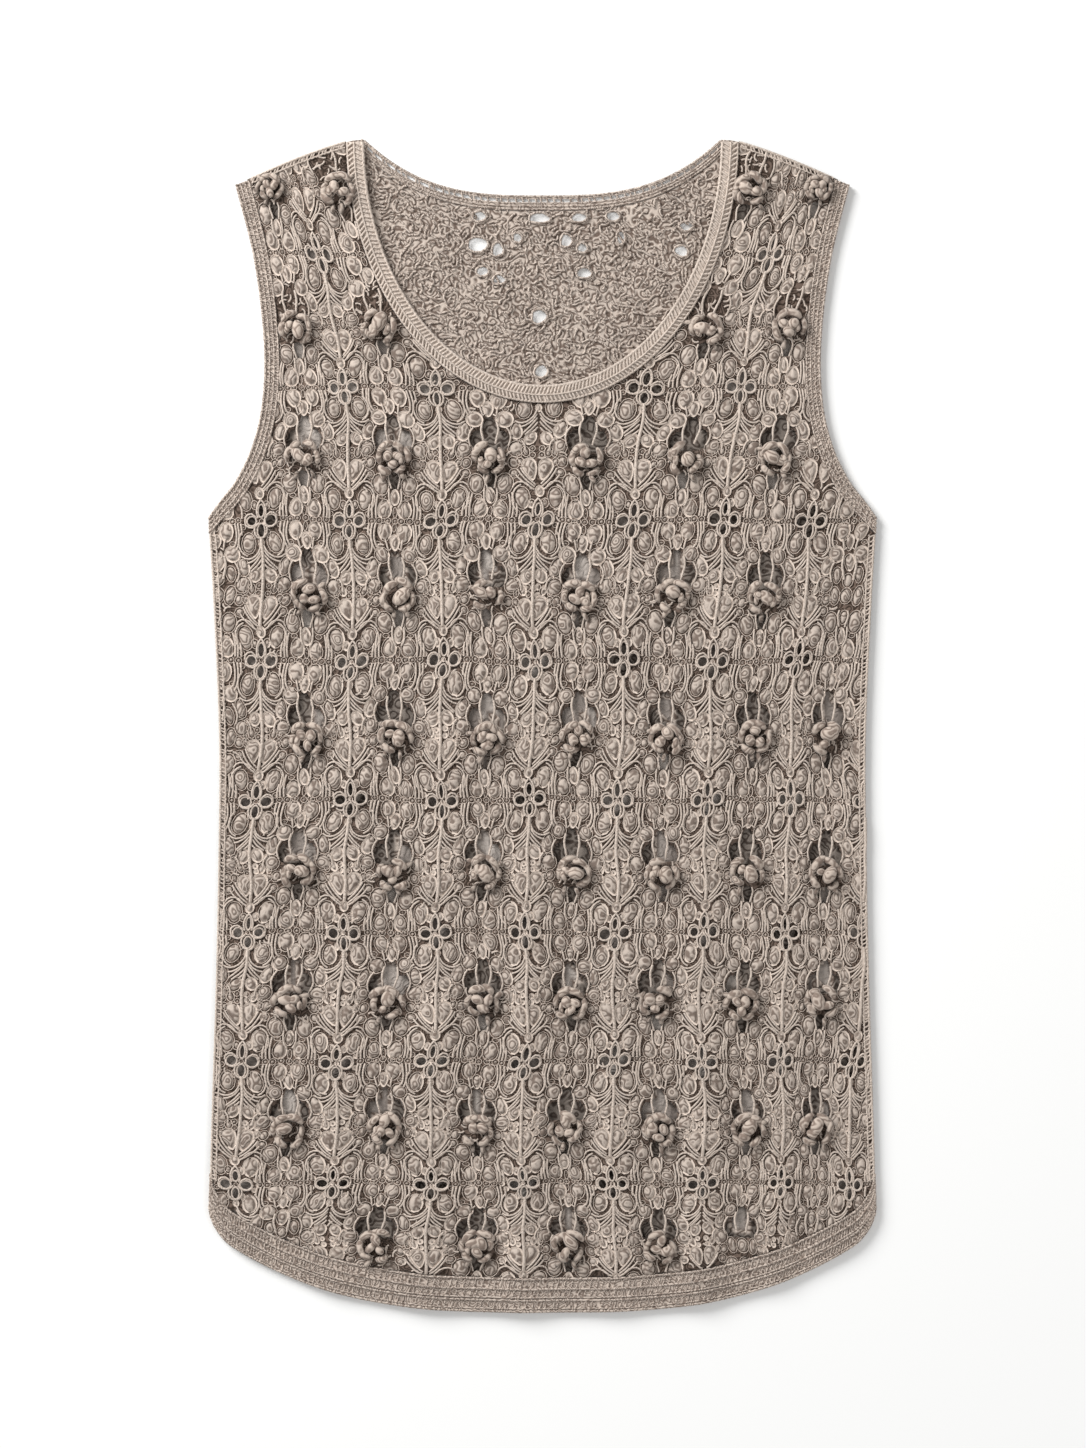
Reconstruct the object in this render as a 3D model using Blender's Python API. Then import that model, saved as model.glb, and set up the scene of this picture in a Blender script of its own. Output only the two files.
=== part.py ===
"""Sleeveless crochet lace vest laid flat, face up, with its front on its back and its neck towards +Y.

Metres, +Z up. The origin is on the table, under the middle of the vest's outline.
A drop is a distance down the vest from the neck point of its shoulder, which lies at y = TOP.
"""

import math

import bmesh
import bpy
from mathutils import Vector
from mathutils.geometry import delaunay_2d_cdt

MM = 0.001

# Driving sizes of the whole vest.
LENGTH = 703 * MM
TOP = LENGTH / 2
SEAM_GAP = 0.3 * MM

# Neck: the front edge is half an ellipse, and the back edge a shallow cubic scoop.
NECK_HALF = 107 * MM
FRONT_NECK_DROP = 147.6 * MM
BACK_NECK_DROP = 33.5 * MM
NECK_BINDING = 10.4 * MM
BACK_NECK_BAND = 9 * MM

# Shoulder line, from the neck point out to the tip, bowed a little outwards.
SHOULDER_NECK_HALF = 111 * MM
SHOULDER_TIP_HALF = 184 * MM
SHOULDER_TIP_DROP = 27.6 * MM
SHOULDER_BOW = 1.25

# Columns: drop, half width, in millimetres. The armhole runs from the shoulder tip to the underarm.
ARMHOLE = ((27.6, 184), (72, 173), (122, 167), (158, 168), (184, 174), (205, 184), (218, 194), (227, 200))
SIDE = ((227, 200), (276, 197), (360, 193.5), (432, 194), (504, 195.5), (600, 198.5), (645, 199.5))
ARMHOLE_BAND = 9 * MM
UNDERARM_INWARDS = (-0.02, -1.05)

# Hem: a cubic curve, rounded where it meets the side.
HEM_RISE = 44 * MM
HEM_RISE_HALF = 193 * MM
HEM_CORNER = 14 * MM
HEM_HALF = 199.5 * MM
HEM_BAND = 21 * MM

# Cloth: two lace walls, thinned and rounded where the front meets the back at a side or shoulder.
WALL = 2.2 * MM
EDGE_WALL = 1.0 * MM
EDGE_ROUND = 3.5 * MM
EDGE_ROUND_ROWS = (0.3, 1.0)

# How far a hole, a ridge and a seam's rounding stay inside a panel's edge.
HOLE_MARGIN = 1.6 * MM
RIDGE_MARGIN = 6 * MM
SEAM_MARGIN = 0.5 * MM

# How finely the edges are built. The shares run along a neck curve from its right end to its left.
ARMHOLE_STEPS = 17
HEM_STEPS = 44
BINDING_STEPS = 40
BINDING_SHARES = (0.006, 0.994)
BACK_BAND_STEPS = 26
BACK_BAND_REACH = 0.995
PANEL_NECK_STEPS = 34
PANEL_NECK_SHARES = (0.012, 0.988)
BACK_PANEL_NECK_STEPS = 22
FINE_STEPS = 60
HEM_SPACING = 14 * MM
SIDE_SPACING = 26 * MM
SHOULDER_SPACING = 16 * MM
ON_SEAM = 0.2 * MM

# Lace repeat: a row for each row of flowers. Columns: drop, then x of flower columns 0 to 6, in millimetres.
REPEAT_ROWS = (
    (30, -165, -124, -39, 41, 125, 166, 210),
    (114, -148, -98, -32, 33, 99, 149, 198),
    (192, -143, -90, -32, 27, 87, 140, 192),
    (274, -141, -87, -33, 23, 78, 132, 182),
    (359, -142, -88, -33, 21, 73, 126, 171),
    (440, -146, -89, -36, 17, 71, 123, 170),
    (518, -150, -93, -36, 17, 69, 120, 167),
    (594, -153, -95, -39, 14, 69, 122, 163),
    (664, -156, -99, -39, 15, 70, 120, 162),
)
FLOWER_COLUMNS = ((0, 1, 4, 5), (0, 1, 4, 5), range(6), range(6), range(7), range(7), range(7), range(7), range(1, 5))
REPEAT_WIDTH = 54.6 * MM
REPEAT_HEIGHT = 82.2 * MM
FLOWER_BELOW_CENTRE = 4.2 * MM

# Flowers: crocheted petals raised from the front wall.
FLOWER_RADIUS = 11 * MM
FLOWER_HEIGHT = 7.5 * MM
FLOWER_MARGIN = 0.8 * MM
PETALS = 6
TURN_BY_COLUMN = 0.9
TURN_BY_ROW = 1.7

# Rings of points round a flower. Columns: turned between the petals, share of the radius, height over the cloth.
PETAL_RINGS = ((False, 1.0, 0.0), (True, 0.84, 0.0), (False, 0.74, 6 * MM), (True, 0.52, 2.7 * MM))

# Holes of one repeat, in millimetres from its centre, as corners of each hole.
CENTRE_HOLE = ((2.4, 23.6), (4.0, 15.5), (2.7, 7.4), (-2.7, 7.4), (-4.0, 15.5), (-2.4, 23.6))
SIDE_HOLE = ((5.2, 14.4), (8.6, 15.4), (11.8, 11.6), (10.6, 6.6), (5.6, 7.2))
ROUND_HOLE_AT = (5.3, 1.0)
ROUND_HOLE_HALF = (3.1, 4.1)
ROUND_HOLE_CORNERS = 6
HOLE_REACH = 60 * MM

# Columns: x, drop, width, height, in millimetres: the gaps in the back that show inside the neck.
BACK_HOLES = (
    (-62, 39, 8, 6),
    (-38, 46, 8, 6),
    (-2, 47, 13, 6),
    (22, 47, 9, 6),
    (42, 46, 8, 6),
    (-39, 63, 12, 8),
    (-27, 66, 7, 8),
    (-15, 59, 6, 6),
    (14, 61, 7, 8),
    (24, 65, 6, 6),
    (47, 59, 5, 8),
    (86, 52, 8, 6),
    (83, 67, 8, 7),
    (-36, 79, 8, 6),
    (-26, 84, 8, 6),
    (25, 80, 9, 7),
    (-2, 106, 9, 9),
    (-1, 139, 8, 8),
)

# Folds: soft upright ridges between the flower columns. Columns: place between columns, share of the height.
FOLDS = ((-0.5, 0.3), (0.5, 0.7), (1.5, 0.8), (2.5, 1.0), (3.5, 0.6), (4.5, 1.0), (5.5, 0.6), (6.5, 0.3))
FOLD_HEIGHT = 4.5 * MM
FOLD_START_DROP = 150 * MM
FOLD_HALF_WIDTH = 0.42
FOLD_FADE = 30 * MM

YARN_COLOUR = (0.36, 0.30, 0.26, 1.0)
BAND_COLOUR = (0.40, 0.34, 0.30, 1.0)


def y_at(drop):
    return TOP - drop


def smooth(t):
    t = max(0.0, min(1.0, t))
    return t * t * (3 - 2 * t)


def curve_value(samples, at):
    """A smooth curve through (place, value) samples, with straight ends."""
    places = [s[0] for s in samples]
    i = max(0, min(len(samples) - 2, sum(p <= at for p in places) - 1))
    (p1, v1), (p2, v2) = samples[i], samples[i + 1]
    p0, v0 = samples[i - 1] if i else (2 * p1 - p2, 2 * v1 - v2)
    p3, v3 = samples[i + 2] if i + 2 < len(samples) else (2 * p2 - p1, 2 * v2 - v1)
    span = p2 - p1
    t = (at - p1) / span
    if t < 0 or t > 1:
        return v1 + (v2 - v1) * t
    slope1 = (v2 - v0) / (p2 - p0) * span
    slope2 = (v3 - v1) / (p3 - p1) * span
    return (
        (2 * t**3 - 3 * t**2 + 1) * v1
        + (t**3 - 2 * t**2 + t) * slope1
        + (3 * t**2 - 2 * t**3) * v2
        + (t**3 - t**2) * slope2
    )


def side_half(drop):
    """Half width of the body at this drop, below the underarm."""
    return curve_value(SIDE, drop / MM) * MM


def armhole_half(drop):
    return curve_value(ARMHOLE, drop / MM) * MM


def hem_drop(x):
    rise = HEM_RISE * (abs(x) / HEM_RISE_HALF) ** 3
    into_corner = min(1.0, max(0.0, abs(x) - (HEM_HALF - HEM_CORNER)) / HEM_CORNER)
    return LENGTH - rise - HEM_CORNER * (1 - math.sqrt(1 - into_corner**2))


def shoulder_drop(x):
    share = (abs(x) - SHOULDER_NECK_HALF) / (SHOULDER_TIP_HALF - SHOULDER_NECK_HALF)
    return SHOULDER_TIP_DROP * max(0.0, share) ** SHOULDER_BOW


def front_neck_point(angle, outwards):
    """A point of the front neck edge, moved out into the cloth. The angle runs from 0 at +X to pi at -X."""
    return Vector(
        (
            (NECK_HALF + outwards) * math.cos(angle),
            y_at((FRONT_NECK_DROP + outwards) * math.sin(angle)),
        )
    )


def back_neck_point(x, down):
    return Vector((x, y_at(BACK_NECK_DROP * (1 - (abs(x) / NECK_HALF) ** 3) + down)))


def armhole_stations(side):
    """(edge point, direction into the cloth) down one armhole, from the shoulder tip to the underarm."""
    first, last = ARMHOLE[0][0] * MM, ARMHOLE[-1][0] * MM
    drops = [first + (last - first) * k / ARMHOLE_STEPS for k in range(ARMHOLE_STEPS + 1)]
    stations = []
    for k, drop in enumerate(drops):
        edge = Vector((armhole_half(drop), y_at(drop)))
        step = 1 * MM
        along = Vector((armhole_half(drop + step) - armhole_half(drop - step), -2 * step)).normalized()
        inwards = Vector((along.y, -along.x))
        if k == 0:
            inwards = Vector((SHOULDER_NECK_HALF - SHOULDER_TIP_HALF, SHOULDER_TIP_DROP)).normalized()
        if k == ARMHOLE_STEPS:
            inwards = Vector(UNDERARM_INWARDS)
        stations.append((Vector((side * edge.x, edge.y)), Vector((side * inwards.x, inwards.y))))
    return stations


def column_places(drop, columns=range(-1, 8)):
    """x of each flower column at this drop. Columns beyond the table carry on at its end spacing."""
    inner = [curve_value([(row[0], row[1 + c]) for row in REPEAT_ROWS], drop / MM) * MM for c in range(7)]
    full = [2 * inner[0] - inner[1], *inner, 2 * inner[-1] - inner[-2]]
    return [full[c + 1] for c in columns]


def column_at(x, drop):
    """Which flower column x lies at, as a number with a fraction."""
    places = column_places(drop)
    i = max(0, min(len(places) - 2, sum(p <= x for p in places) - 1))
    return i - 1 + (x - places[i]) / (places[i + 1] - places[i])


def repeat_point(column, row, dx, dy):
    """A point dx, dy from the centre of the repeat that holds this flower, carried by the lattice."""
    down = row - dy / REPEAT_HEIGHT
    drops = [(k, r[0]) for k, r in enumerate(REPEAT_ROWS)]
    drop = curve_value(drops, down) * MM - FLOWER_BELOW_CENTRE
    places = list(enumerate(column_places(drop + FLOWER_BELOW_CENTRE), start=-1))
    return Vector((curve_value(places, column + dx / REPEAT_WIDTH), y_at(drop)))


def seam_distance(point):
    """How far a point lies inside the nearest side or shoulder, where the front meets the back."""
    drop = TOP - point.y
    lean = SHOULDER_TIP_DROP / (SHOULDER_TIP_HALF - SHOULDER_NECK_HALF)
    to_shoulder = (drop - shoulder_drop(point.x)) / math.hypot(1, lean)
    to_side = side_half(drop) - abs(point.x) if drop > SIDE[0][0] * MM else math.inf
    return max(0.0, min(to_shoulder if abs(point.x) > NECK_HALF else math.inf, to_side))


def fold(point):
    """Height of the folds of the front over its back."""
    drop = TOP - point.y
    grown = FOLD_HEIGHT * max(0.0, drop - FOLD_START_DROP) / (LENGTH - FOLD_START_DROP)
    if not grown:
        return 0.0
    column = column_at(point.x, drop)
    ridge = max(share * smooth(1 - abs(column - at) / FOLD_HALF_WIDTH) for at, share in FOLDS)
    return grown * ridge * smooth((side_half(drop) - abs(point.x)) / FOLD_FADE)


def rounding(point):
    """From 0 at a side or shoulder to 1 where the wall has its full thickness."""
    into = min(1.0, seam_distance(point) / EDGE_ROUND)
    return math.sqrt(1 - (1 - into) ** 2)


def front_low(point):
    return WALL + SEAM_GAP + fold(point)


def front_high(point, extra=0.0):
    return front_low(point) + EDGE_WALL + (WALL + extra - EDGE_WALL) * rounding(point)


def back_low(point):
    return (WALL - EDGE_WALL) * (1 - rounding(point))


def back_high(_point, extra=0.0):
    """Top of the back, which lies flat under the front, so no rib of it stands up."""
    return WALL + min(extra, 0.0)


def at_height(point, height):
    return Vector((point.x, point.y, height))


def resampled(points, spacing):
    """Points about this far apart along a line of plan points, both ends kept."""
    lengths = [0.0]
    for a, b in zip(points, points[1:]):
        lengths.append(lengths[-1] + (b - a).length)
    count = max(1, round(lengths[-1] / spacing))
    found = []
    for k in range(count + 1):
        at = lengths[-1] * k / count
        i = max(1, min(len(points) - 1, sum(length < at for length in lengths)))
        share = (at - lengths[i - 1]) / (lengths[i] - lengths[i - 1])
        found.append(points[i - 1].lerp(points[i], share))
    return found


def mirrored(points):
    return [Vector((-p.x, p.y)) for p in reversed(points)]


def right_edge(neck_side_point):
    """The panel's edge from the middle of the hem band up to the neck, right half, inside its bands."""
    inset = ARMHOLE_BAND + SEAM_GAP
    xs = [HEM_HALF * k / FINE_STEPS for k in range(FINE_STEPS)]
    hem = [Vector((x, y_at(hem_drop(x) - HEM_BAND - SEAM_GAP))) for x in xs]
    corner_drop = hem_drop(HEM_HALF) - HEM_BAND - SEAM_GAP
    underarm_drop = ARMHOLE[-1][0] * MM - UNDERARM_INWARDS[1] * inset
    drops = [corner_drop + (underarm_drop - corner_drop) * k / FINE_STEPS for k in range(FINE_STEPS + 1)]
    side = [Vector((side_half(drop), y_at(drop))) for drop in drops]
    arm = [edge + inwards * inset for edge, inwards in reversed(armhole_stations(1)[:-1])]
    arm[-1].y = y_at(shoulder_drop(arm[-1].x))
    shoulder_end = Vector((neck_side_point.x, y_at(shoulder_drop(neck_side_point.x))))
    shoulder = resampled([arm[-1], shoulder_end], SHOULDER_SPACING)
    return resampled(hem, HEM_SPACING), resampled(side, SIDE_SPACING), arm, shoulder


def panel_outline(neck):
    """The closed plan outline of a panel whose neck edge runs from the right shoulder to the left one."""
    hem, side, arm, shoulder = right_edge(neck[0])
    right = hem[:-1] + side + arm + shoulder[1:-1]
    return right + neck + mirrored(right)[:-1]


def round_the_seams(outline):
    """Points inside each side and shoulder that give the wall its rounded edge."""
    found = []
    for i, point in enumerate(outline):
        before, after = outline[i - 1], outline[(i + 1) % len(outline)]
        if max(seam_distance(p) for p in (before, point, after)) > ON_SEAM:
            continue
        along = (after - before).normalized()
        inwards = Vector((-along.y, along.x))
        found += [point + inwards * EDGE_ROUND * share for share in EDGE_ROUND_ROWS]
    return found


def inside(point, loop):
    """Whether a plan point lies inside a closed plan loop."""
    found = False
    for a, b in zip(loop, loop[1:] + loop[:1]):
        if (a.y > point.y) != (b.y > point.y):
            if point.x < a.x + (b.x - a.x) * (point.y - a.y) / (b.y - a.y):
                found = not found
    return found


def edge_distance(point, loop):
    nearest = math.inf
    for a, b in zip(loop, loop[1:] + loop[:1]):
        run = b - a
        share = max(0.0, min(1.0, (point - a).dot(run) / run.length_squared))
        nearest = min(nearest, (point - a - run * share).length)
    return nearest


def fits(hole, outline, margin=HOLE_MARGIN):
    return all(inside(p, outline) and edge_distance(p, outline) > margin for p in hole)


def round_corners(half_width, half_height, count):
    return [
        (half_width * math.cos(math.tau * (k + 0.5) / count), half_height * math.sin(math.tau * (k + 0.5) / count))
        for k in range(count)
    ]


def flower_places():
    return [(column, row) for row, columns in enumerate(FLOWER_COLUMNS) for column in columns]


def front_holes(outline):
    """The largest holes of each repeat: three above each flower, and the round pair between repeats."""
    found = []
    for column, row in flower_places() + [(5, 8)]:
        for hole in (CENTRE_HOLE, SIDE_HOLE, [(-x, y) for x, y in reversed(SIDE_HOLE)]):
            found.append([repeat_point(column, row, x * MM, y * MM) for x, y in hole])
    for row in range(8):
        for column in range(-1, 7):
            for side in (-1, 1):
                found.append(
                    [
                        repeat_point(
                            column + 0.5,
                            row + 0.5,
                            (side * ROUND_HOLE_AT[0] + x) * MM,
                            (ROUND_HOLE_AT[1] + y) * MM,
                        )
                        for x, y in round_corners(*ROUND_HOLE_HALF, ROUND_HOLE_CORNERS)
                    ]
                )
    return [hole for hole in found if fits(hole, outline)]


def back_holes(outline):
    """The gaps that show inside the neck."""
    found = []
    for at_x, drop, width, height in BACK_HOLES:
        corners = round_corners(width / 2, height / 2, ROUND_HOLE_CORNERS)
        found.append([Vector(((at_x + x) * MM, y_at(drop * MM) + y * MM)) for x, y in corners])
    return [hole for hole in found if fits(hole, outline)]


def flower_points(column, row, outline):
    """(plan point, height over the cloth) of one raised flower, made smaller where the cloth is narrow."""
    centre = repeat_point(column, row, 0, -FLOWER_BELOW_CENTRE)
    radius = min(FLOWER_RADIUS, edge_distance(centre, outline) - FLOWER_MARGIN)
    scale = radius / FLOWER_RADIUS
    turn = TURN_BY_COLUMN * column + TURN_BY_ROW * row
    found = [(centre, FLOWER_HEIGHT * scale)]
    for k in range(PETALS):
        for between, share, height in PETAL_RINGS:
            angle = turn + math.tau * (k + 0.5 * between) / PETALS
            reach = Vector((math.cos(angle), math.sin(angle))) * radius * share
            found.append((centre + reach, height * scale))
    return found


def triangles(loops, loose):
    """Triangles between closed plan loops, the first of them the outline, that also use the loose points."""
    points = [p for loop in loops for p in loop] + loose
    edges = []
    start = 0
    for loop in loops:
        edges += [(start + i, start + (i + 1) % len(loop)) for i in range(len(loop))]
        start += len(loop)
    _, _, faces, kept, _, _ = delaunay_2d_cdt(points, edges, [], 0, 1e-9)
    found = []
    for face in faces:
        corners = [kept[i][0] for i in face]
        middle = sum((points[i] for i in corners), Vector((0, 0))) / 3
        if inside(middle, loops[0]) and not any(inside(middle, hole) for hole in loops[1:] if near(middle, hole)):
            found.append(corners)
    return found


def near(point, loop):
    return (point - loop[0]).length < HOLE_REACH


def wall(name, loops, low, high, low_loose, high_loose):
    """A closed wall over a plan area with holes. Loose points are (plan point, height added)."""
    bm = bmesh.new()
    shared = [p for loop in loops for p in loop]
    surfaces = []
    for loose, height, flip in ((high_loose, high, False), (low_loose, low, True)):
        plan = shared + [p for p, _ in loose]
        added = [0.0] * len(shared) + [h for _, h in loose]
        verts = [bm.verts.new(at_height(p, height(p) + h)) for p, h in zip(plan, added)]
        for corners in triangles(loops, [p for p, _ in loose]):
            bm.faces.new([verts[i] for i in (reversed(corners) if flip else corners)])
        surfaces.append(verts)
    start = 0
    for loop in loops:
        for i in range(len(loop)):
            a, b = start + i, start + (i + 1) % len(loop)
            bm.faces.new([surfaces[0][a], surfaces[0][b], surfaces[1][b], surfaces[1][a]])
        start += len(loop)
    return finish(name, bm)


def band(name, rings, crease=35):
    """A closed band swept through rings of the same number of points."""
    bm = bmesh.new()
    loops = []
    for ring in rings:
        verts = [bm.verts.new(p) for p in ring]
        loops.append([bm.edges.new((a, b)) for a, b in zip(verts, verts[1:] + verts[:1])])
    for before, after in zip(loops, loops[1:]):
        bmesh.ops.bridge_loops(bm, edges=before + after)
    for ends in (loops[0], loops[-1]):
        bmesh.ops.contextual_create(bm, geom=ends)
    return finish(name, bm, crease)


def finish(name, bm, crease=35):
    bmesh.ops.recalc_face_normals(bm, faces=bm.faces)
    bmesh.ops.triangulate(bm, faces=[f for f in bm.faces if len(f.verts) > 4])
    mesh = bpy.data.meshes.new(name)
    bm.to_mesh(mesh)
    bm.free()
    mesh.shade_smooth()
    mesh.set_sharp_from_angle(angle=math.radians(crease))
    obj = bpy.data.objects.new(name, mesh)
    bpy.context.scene.collection.objects.link(obj)
    return obj


def cotton(name, colour, roughness):
    material = bpy.data.materials.new(name)
    material.use_nodes = True
    shader = material.node_tree.nodes["Principled BSDF"]
    shader.inputs["Base Color"].default_value = colour
    shader.inputs["Roughness"].default_value = roughness
    shader.inputs["Metallic"].default_value = 0.0
    return material


def crossing(outer, inner, low, high, ribs):
    """One ring across a band, from its outer edge to its inner one. Ribs are (share across, extra thickness)."""
    top = [(outer.lerp(inner, share), extra) for share, extra in ribs]
    ring = [at_height(p, high(p, extra)) for p, extra in top]
    return ring + [at_height(p, low(p)) for p in (inner, outer)]


def shares(steps, first=0.0, last=1.0):
    return [first + (last - first) * k / steps for k in range(steps + 1)]


def front_panel():
    angles = [math.pi * share for share in shares(PANEL_NECK_STEPS, *PANEL_NECK_SHARES)]
    neck = [front_neck_point(angle, NECK_BINDING + SEAM_GAP) for angle in angles]
    outline = panel_outline(neck)
    flowers = [p for place in flower_places() for p in flower_points(*place, outline)]
    ridges = [repeat_point(c + 0.5, r, 0, 0) for c in range(-1, 6) for r in range(len(REPEAT_ROWS))]
    ridges = [p for p in ridges if fits([p], outline, RIDGE_MARGIN)]
    seams = [p for p in round_the_seams(outline) if fits([p], outline, SEAM_MARGIN)]
    loose = [(p, 0.0) for p in ridges + seams]
    return wall("front_panel", [outline, *front_holes(outline)], front_low, front_high, loose, loose + flowers)


def back_panel():
    xs = [NECK_HALF * (1 - 2 * share) for share in shares(BACK_PANEL_NECK_STEPS)]
    neck = [back_neck_point(x, BACK_NECK_BAND + SEAM_GAP) for x in xs]
    outline = panel_outline(neck)
    seams = [(p, 0.0) for p in round_the_seams(outline) if fits([p], outline, SEAM_MARGIN)]
    return wall("back_panel", [outline, *back_holes(outline)], back_low, back_high, seams, seams)


def neck_binding():
    """The rounded binding round the front neck, thicker than the lace."""
    ribs = ((0.0, -1.2 * MM), (0.2, 1.0 * MM), (0.6, 1.3 * MM), (0.85, 0.6 * MM), (1.0, 0.0))
    rings = []
    for share in shares(BINDING_STEPS, *BINDING_SHARES):
        angle = math.pi * share
        outer, inner = front_neck_point(angle, 0), front_neck_point(angle, NECK_BINDING)
        rings.append(crossing(outer, inner, front_low, plain_high, ribs))
    return band("neck_binding_front", rings)


def plain_high(point, extra=0.0):
    """Top of a front band that ends at a seam face to face with its back, with no rounding there."""
    return front_low(point) + WALL + extra


def back_neck_band():
    ribs = ((0.0, -0.8 * MM), (0.14, 0.0), (0.5, -0.3 * MM), (0.75, 0.3 * MM), (1.0, 0.0))
    rings = []
    for share in shares(BACK_BAND_STEPS):
        x = NECK_HALF * (1 - 2 * share) * BACK_BAND_REACH
        outer, inner = back_neck_point(x, 0), back_neck_point(x, BACK_NECK_BAND)
        rings.append(crossing(outer, inner, flat_low, back_high, ribs))
    return band("neck_band_back", rings)


def flat_low(_point):
    return 0.0


def armhole_band(side, layer, low, high):
    ribs = ((0.0, -0.8 * MM), (0.2, 0.4 * MM), (0.6, -0.1 * MM), (1.0, 0.0))
    rings = []
    for edge, inwards in armhole_stations(side):
        rings.append(crossing(edge, edge + inwards * ARMHOLE_BAND, low, high, ribs))
    return band(f"armhole_band_{layer}_{'right' if side > 0 else 'left'}", rings)


def hem_band(layer, low, high):
    """Three chained rows between cords, following the hem from side to side."""
    ribs = ((0.0, -0.8 * MM), (0.1, 0.3 * MM), (0.35, -0.2 * MM), (0.5, 0.4 * MM), (0.8, -0.2 * MM), (1.0, 0.2 * MM))
    rings = []
    for share in shares(HEM_STEPS, -1.0, 1.0):
        across = math.sin(math.pi / 2 * share)
        x = HEM_HALF * across
        drop = hem_drop(x)
        outer = Vector((x, y_at(drop)))
        inner_drop = drop - HEM_BAND
        inner = Vector((side_half(inner_drop) * across, y_at(inner_drop)))
        rings.append(crossing(outer, inner, low, high, ribs))
    return band(f"hem_band_{layer}", rings)


def main():
    for obj in list(bpy.data.objects):
        bpy.data.objects.remove(obj)
    lace = cotton("cotton_crochet_lace", YARN_COLOUR, 0.9)
    edging = cotton("cotton_crochet_edging", BAND_COLOUR, 0.85)
    panels = [front_panel(), back_panel()]
    bands = [neck_binding(), back_neck_band()]
    for side in (-1, 1):
        bands.append(armhole_band(side, "front", front_low, plain_high))
        bands.append(armhole_band(side, "back", flat_low, back_high))
    bands += [hem_band("front", front_low, front_high), hem_band("back", back_low, back_high)]
    for obj in panels:
        obj.data.materials.append(lace)
    for obj in bands:
        obj.data.materials.append(edging)


main()
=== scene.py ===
"""Crochet lace vest laid flat, face up, with its front on its back and its neck towards +Y.

It is metres, +Z up, with the origin on the table under the middle of the vest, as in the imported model.
A drop is a distance down the vest from the neck point of its shoulder, which lies at y = TOP.
Charts are in millimetres, from the centre of one lace repeat, whose flower lies just below that centre.
"""

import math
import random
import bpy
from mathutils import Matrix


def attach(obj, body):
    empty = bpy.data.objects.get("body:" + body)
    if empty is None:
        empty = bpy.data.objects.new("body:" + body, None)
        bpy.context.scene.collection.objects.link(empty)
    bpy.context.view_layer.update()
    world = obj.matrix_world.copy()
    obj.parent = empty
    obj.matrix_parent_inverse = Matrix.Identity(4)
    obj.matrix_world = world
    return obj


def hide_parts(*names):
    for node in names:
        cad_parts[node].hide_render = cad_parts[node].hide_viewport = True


bl_info = {
    "name": "Crochet lace vest",
    "version": (1, 0, 0),
    "blender": (4, 5, 0),
    "location": "View3D > Sidebar > Lace vest",
    "description": "Crochets a lace vest laid flat, with its net, petals, flowers and bands",
    "category": "Add Mesh",
}

import bmesh
import bpy
import numpy as np
from bpy.props import FloatProperty, FloatVectorProperty, IntProperty, PointerProperty
from mathutils import Matrix, Vector, noise
from mathutils.geometry import delaunay_2d_cdt
from mathutils.kdtree import KDTree

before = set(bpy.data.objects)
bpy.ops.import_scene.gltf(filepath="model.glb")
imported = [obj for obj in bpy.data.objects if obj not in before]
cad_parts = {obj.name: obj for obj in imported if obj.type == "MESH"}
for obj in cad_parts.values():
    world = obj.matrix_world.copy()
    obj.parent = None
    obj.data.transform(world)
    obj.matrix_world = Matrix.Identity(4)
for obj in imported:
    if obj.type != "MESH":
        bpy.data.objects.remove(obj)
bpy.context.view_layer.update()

MM = 0.001

# The cut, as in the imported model.
LENGTH = 0.703
TOP = LENGTH / 2
SEAM_GAP = 0.3 * MM
NECK_HALF = 107 * MM
FRONT_NECK_DROP = 147.6 * MM
BACK_NECK_DROP = 33.5 * MM
NECK_BINDING = 10.4 * MM
BACK_NECK_BAND = 9 * MM
SHOULDER_NECK_HALF = 111 * MM
SHOULDER_TIP_HALF = 184 * MM
SHOULDER_TIP_DROP = 27.6 * MM
SHOULDER_BOW = 1.25
ARMHOLE_BAND = 9 * MM
HEM_RISE = 44 * MM
HEM_RISE_HALF = 193 * MM
HEM_CORNER = 14 * MM
HEM_HALF = 199.5 * MM
HEM_BAND = 21 * MM
WALL = 2.2 * MM

# Columns: drop, half width, in millimetres.
ARMHOLE = ((27.6, 184), (72, 173), (122, 167), (158, 168), (184, 174), (205, 184), (218, 194), (227, 200))
SIDE = ((227, 200), (276, 197), (360, 193.5), (432, 194), (504, 195.5), (600, 198.5), (645, 199.5))
UNDERARM_DROP = ARMHOLE[-1][0] * MM

# Lace repeat: a row for each row of flowers. Columns: drop, then x of flower columns 0 to 6, in millimetres.
REPEAT_ROWS = (
    (30, -165, -124, -39, 41, 125, 166, 210),
    (114, -148, -98, -32, 33, 99, 149, 198),
    (192, -143, -90, -32, 27, 87, 140, 192),
    (274, -141, -87, -33, 23, 78, 132, 182),
    (359, -142, -88, -33, 21, 73, 126, 171),
    (440, -146, -89, -36, 17, 71, 123, 170),
    (518, -150, -93, -36, 17, 69, 120, 167),
    (594, -153, -95, -39, 14, 69, 122, 163),
    (664, -156, -99, -39, 15, 70, 120, 162),
)
FLOWER_COLUMNS = ((0, 1, 4, 5), (0, 1, 4, 5), range(6), range(6), *[range(7)] * 4, range(1, 5))
REPEAT_WIDTH = 54.6
REPEAT_HEIGHT = 82.2
FLOWER_BELOW_CENTRE = 4.2

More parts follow.
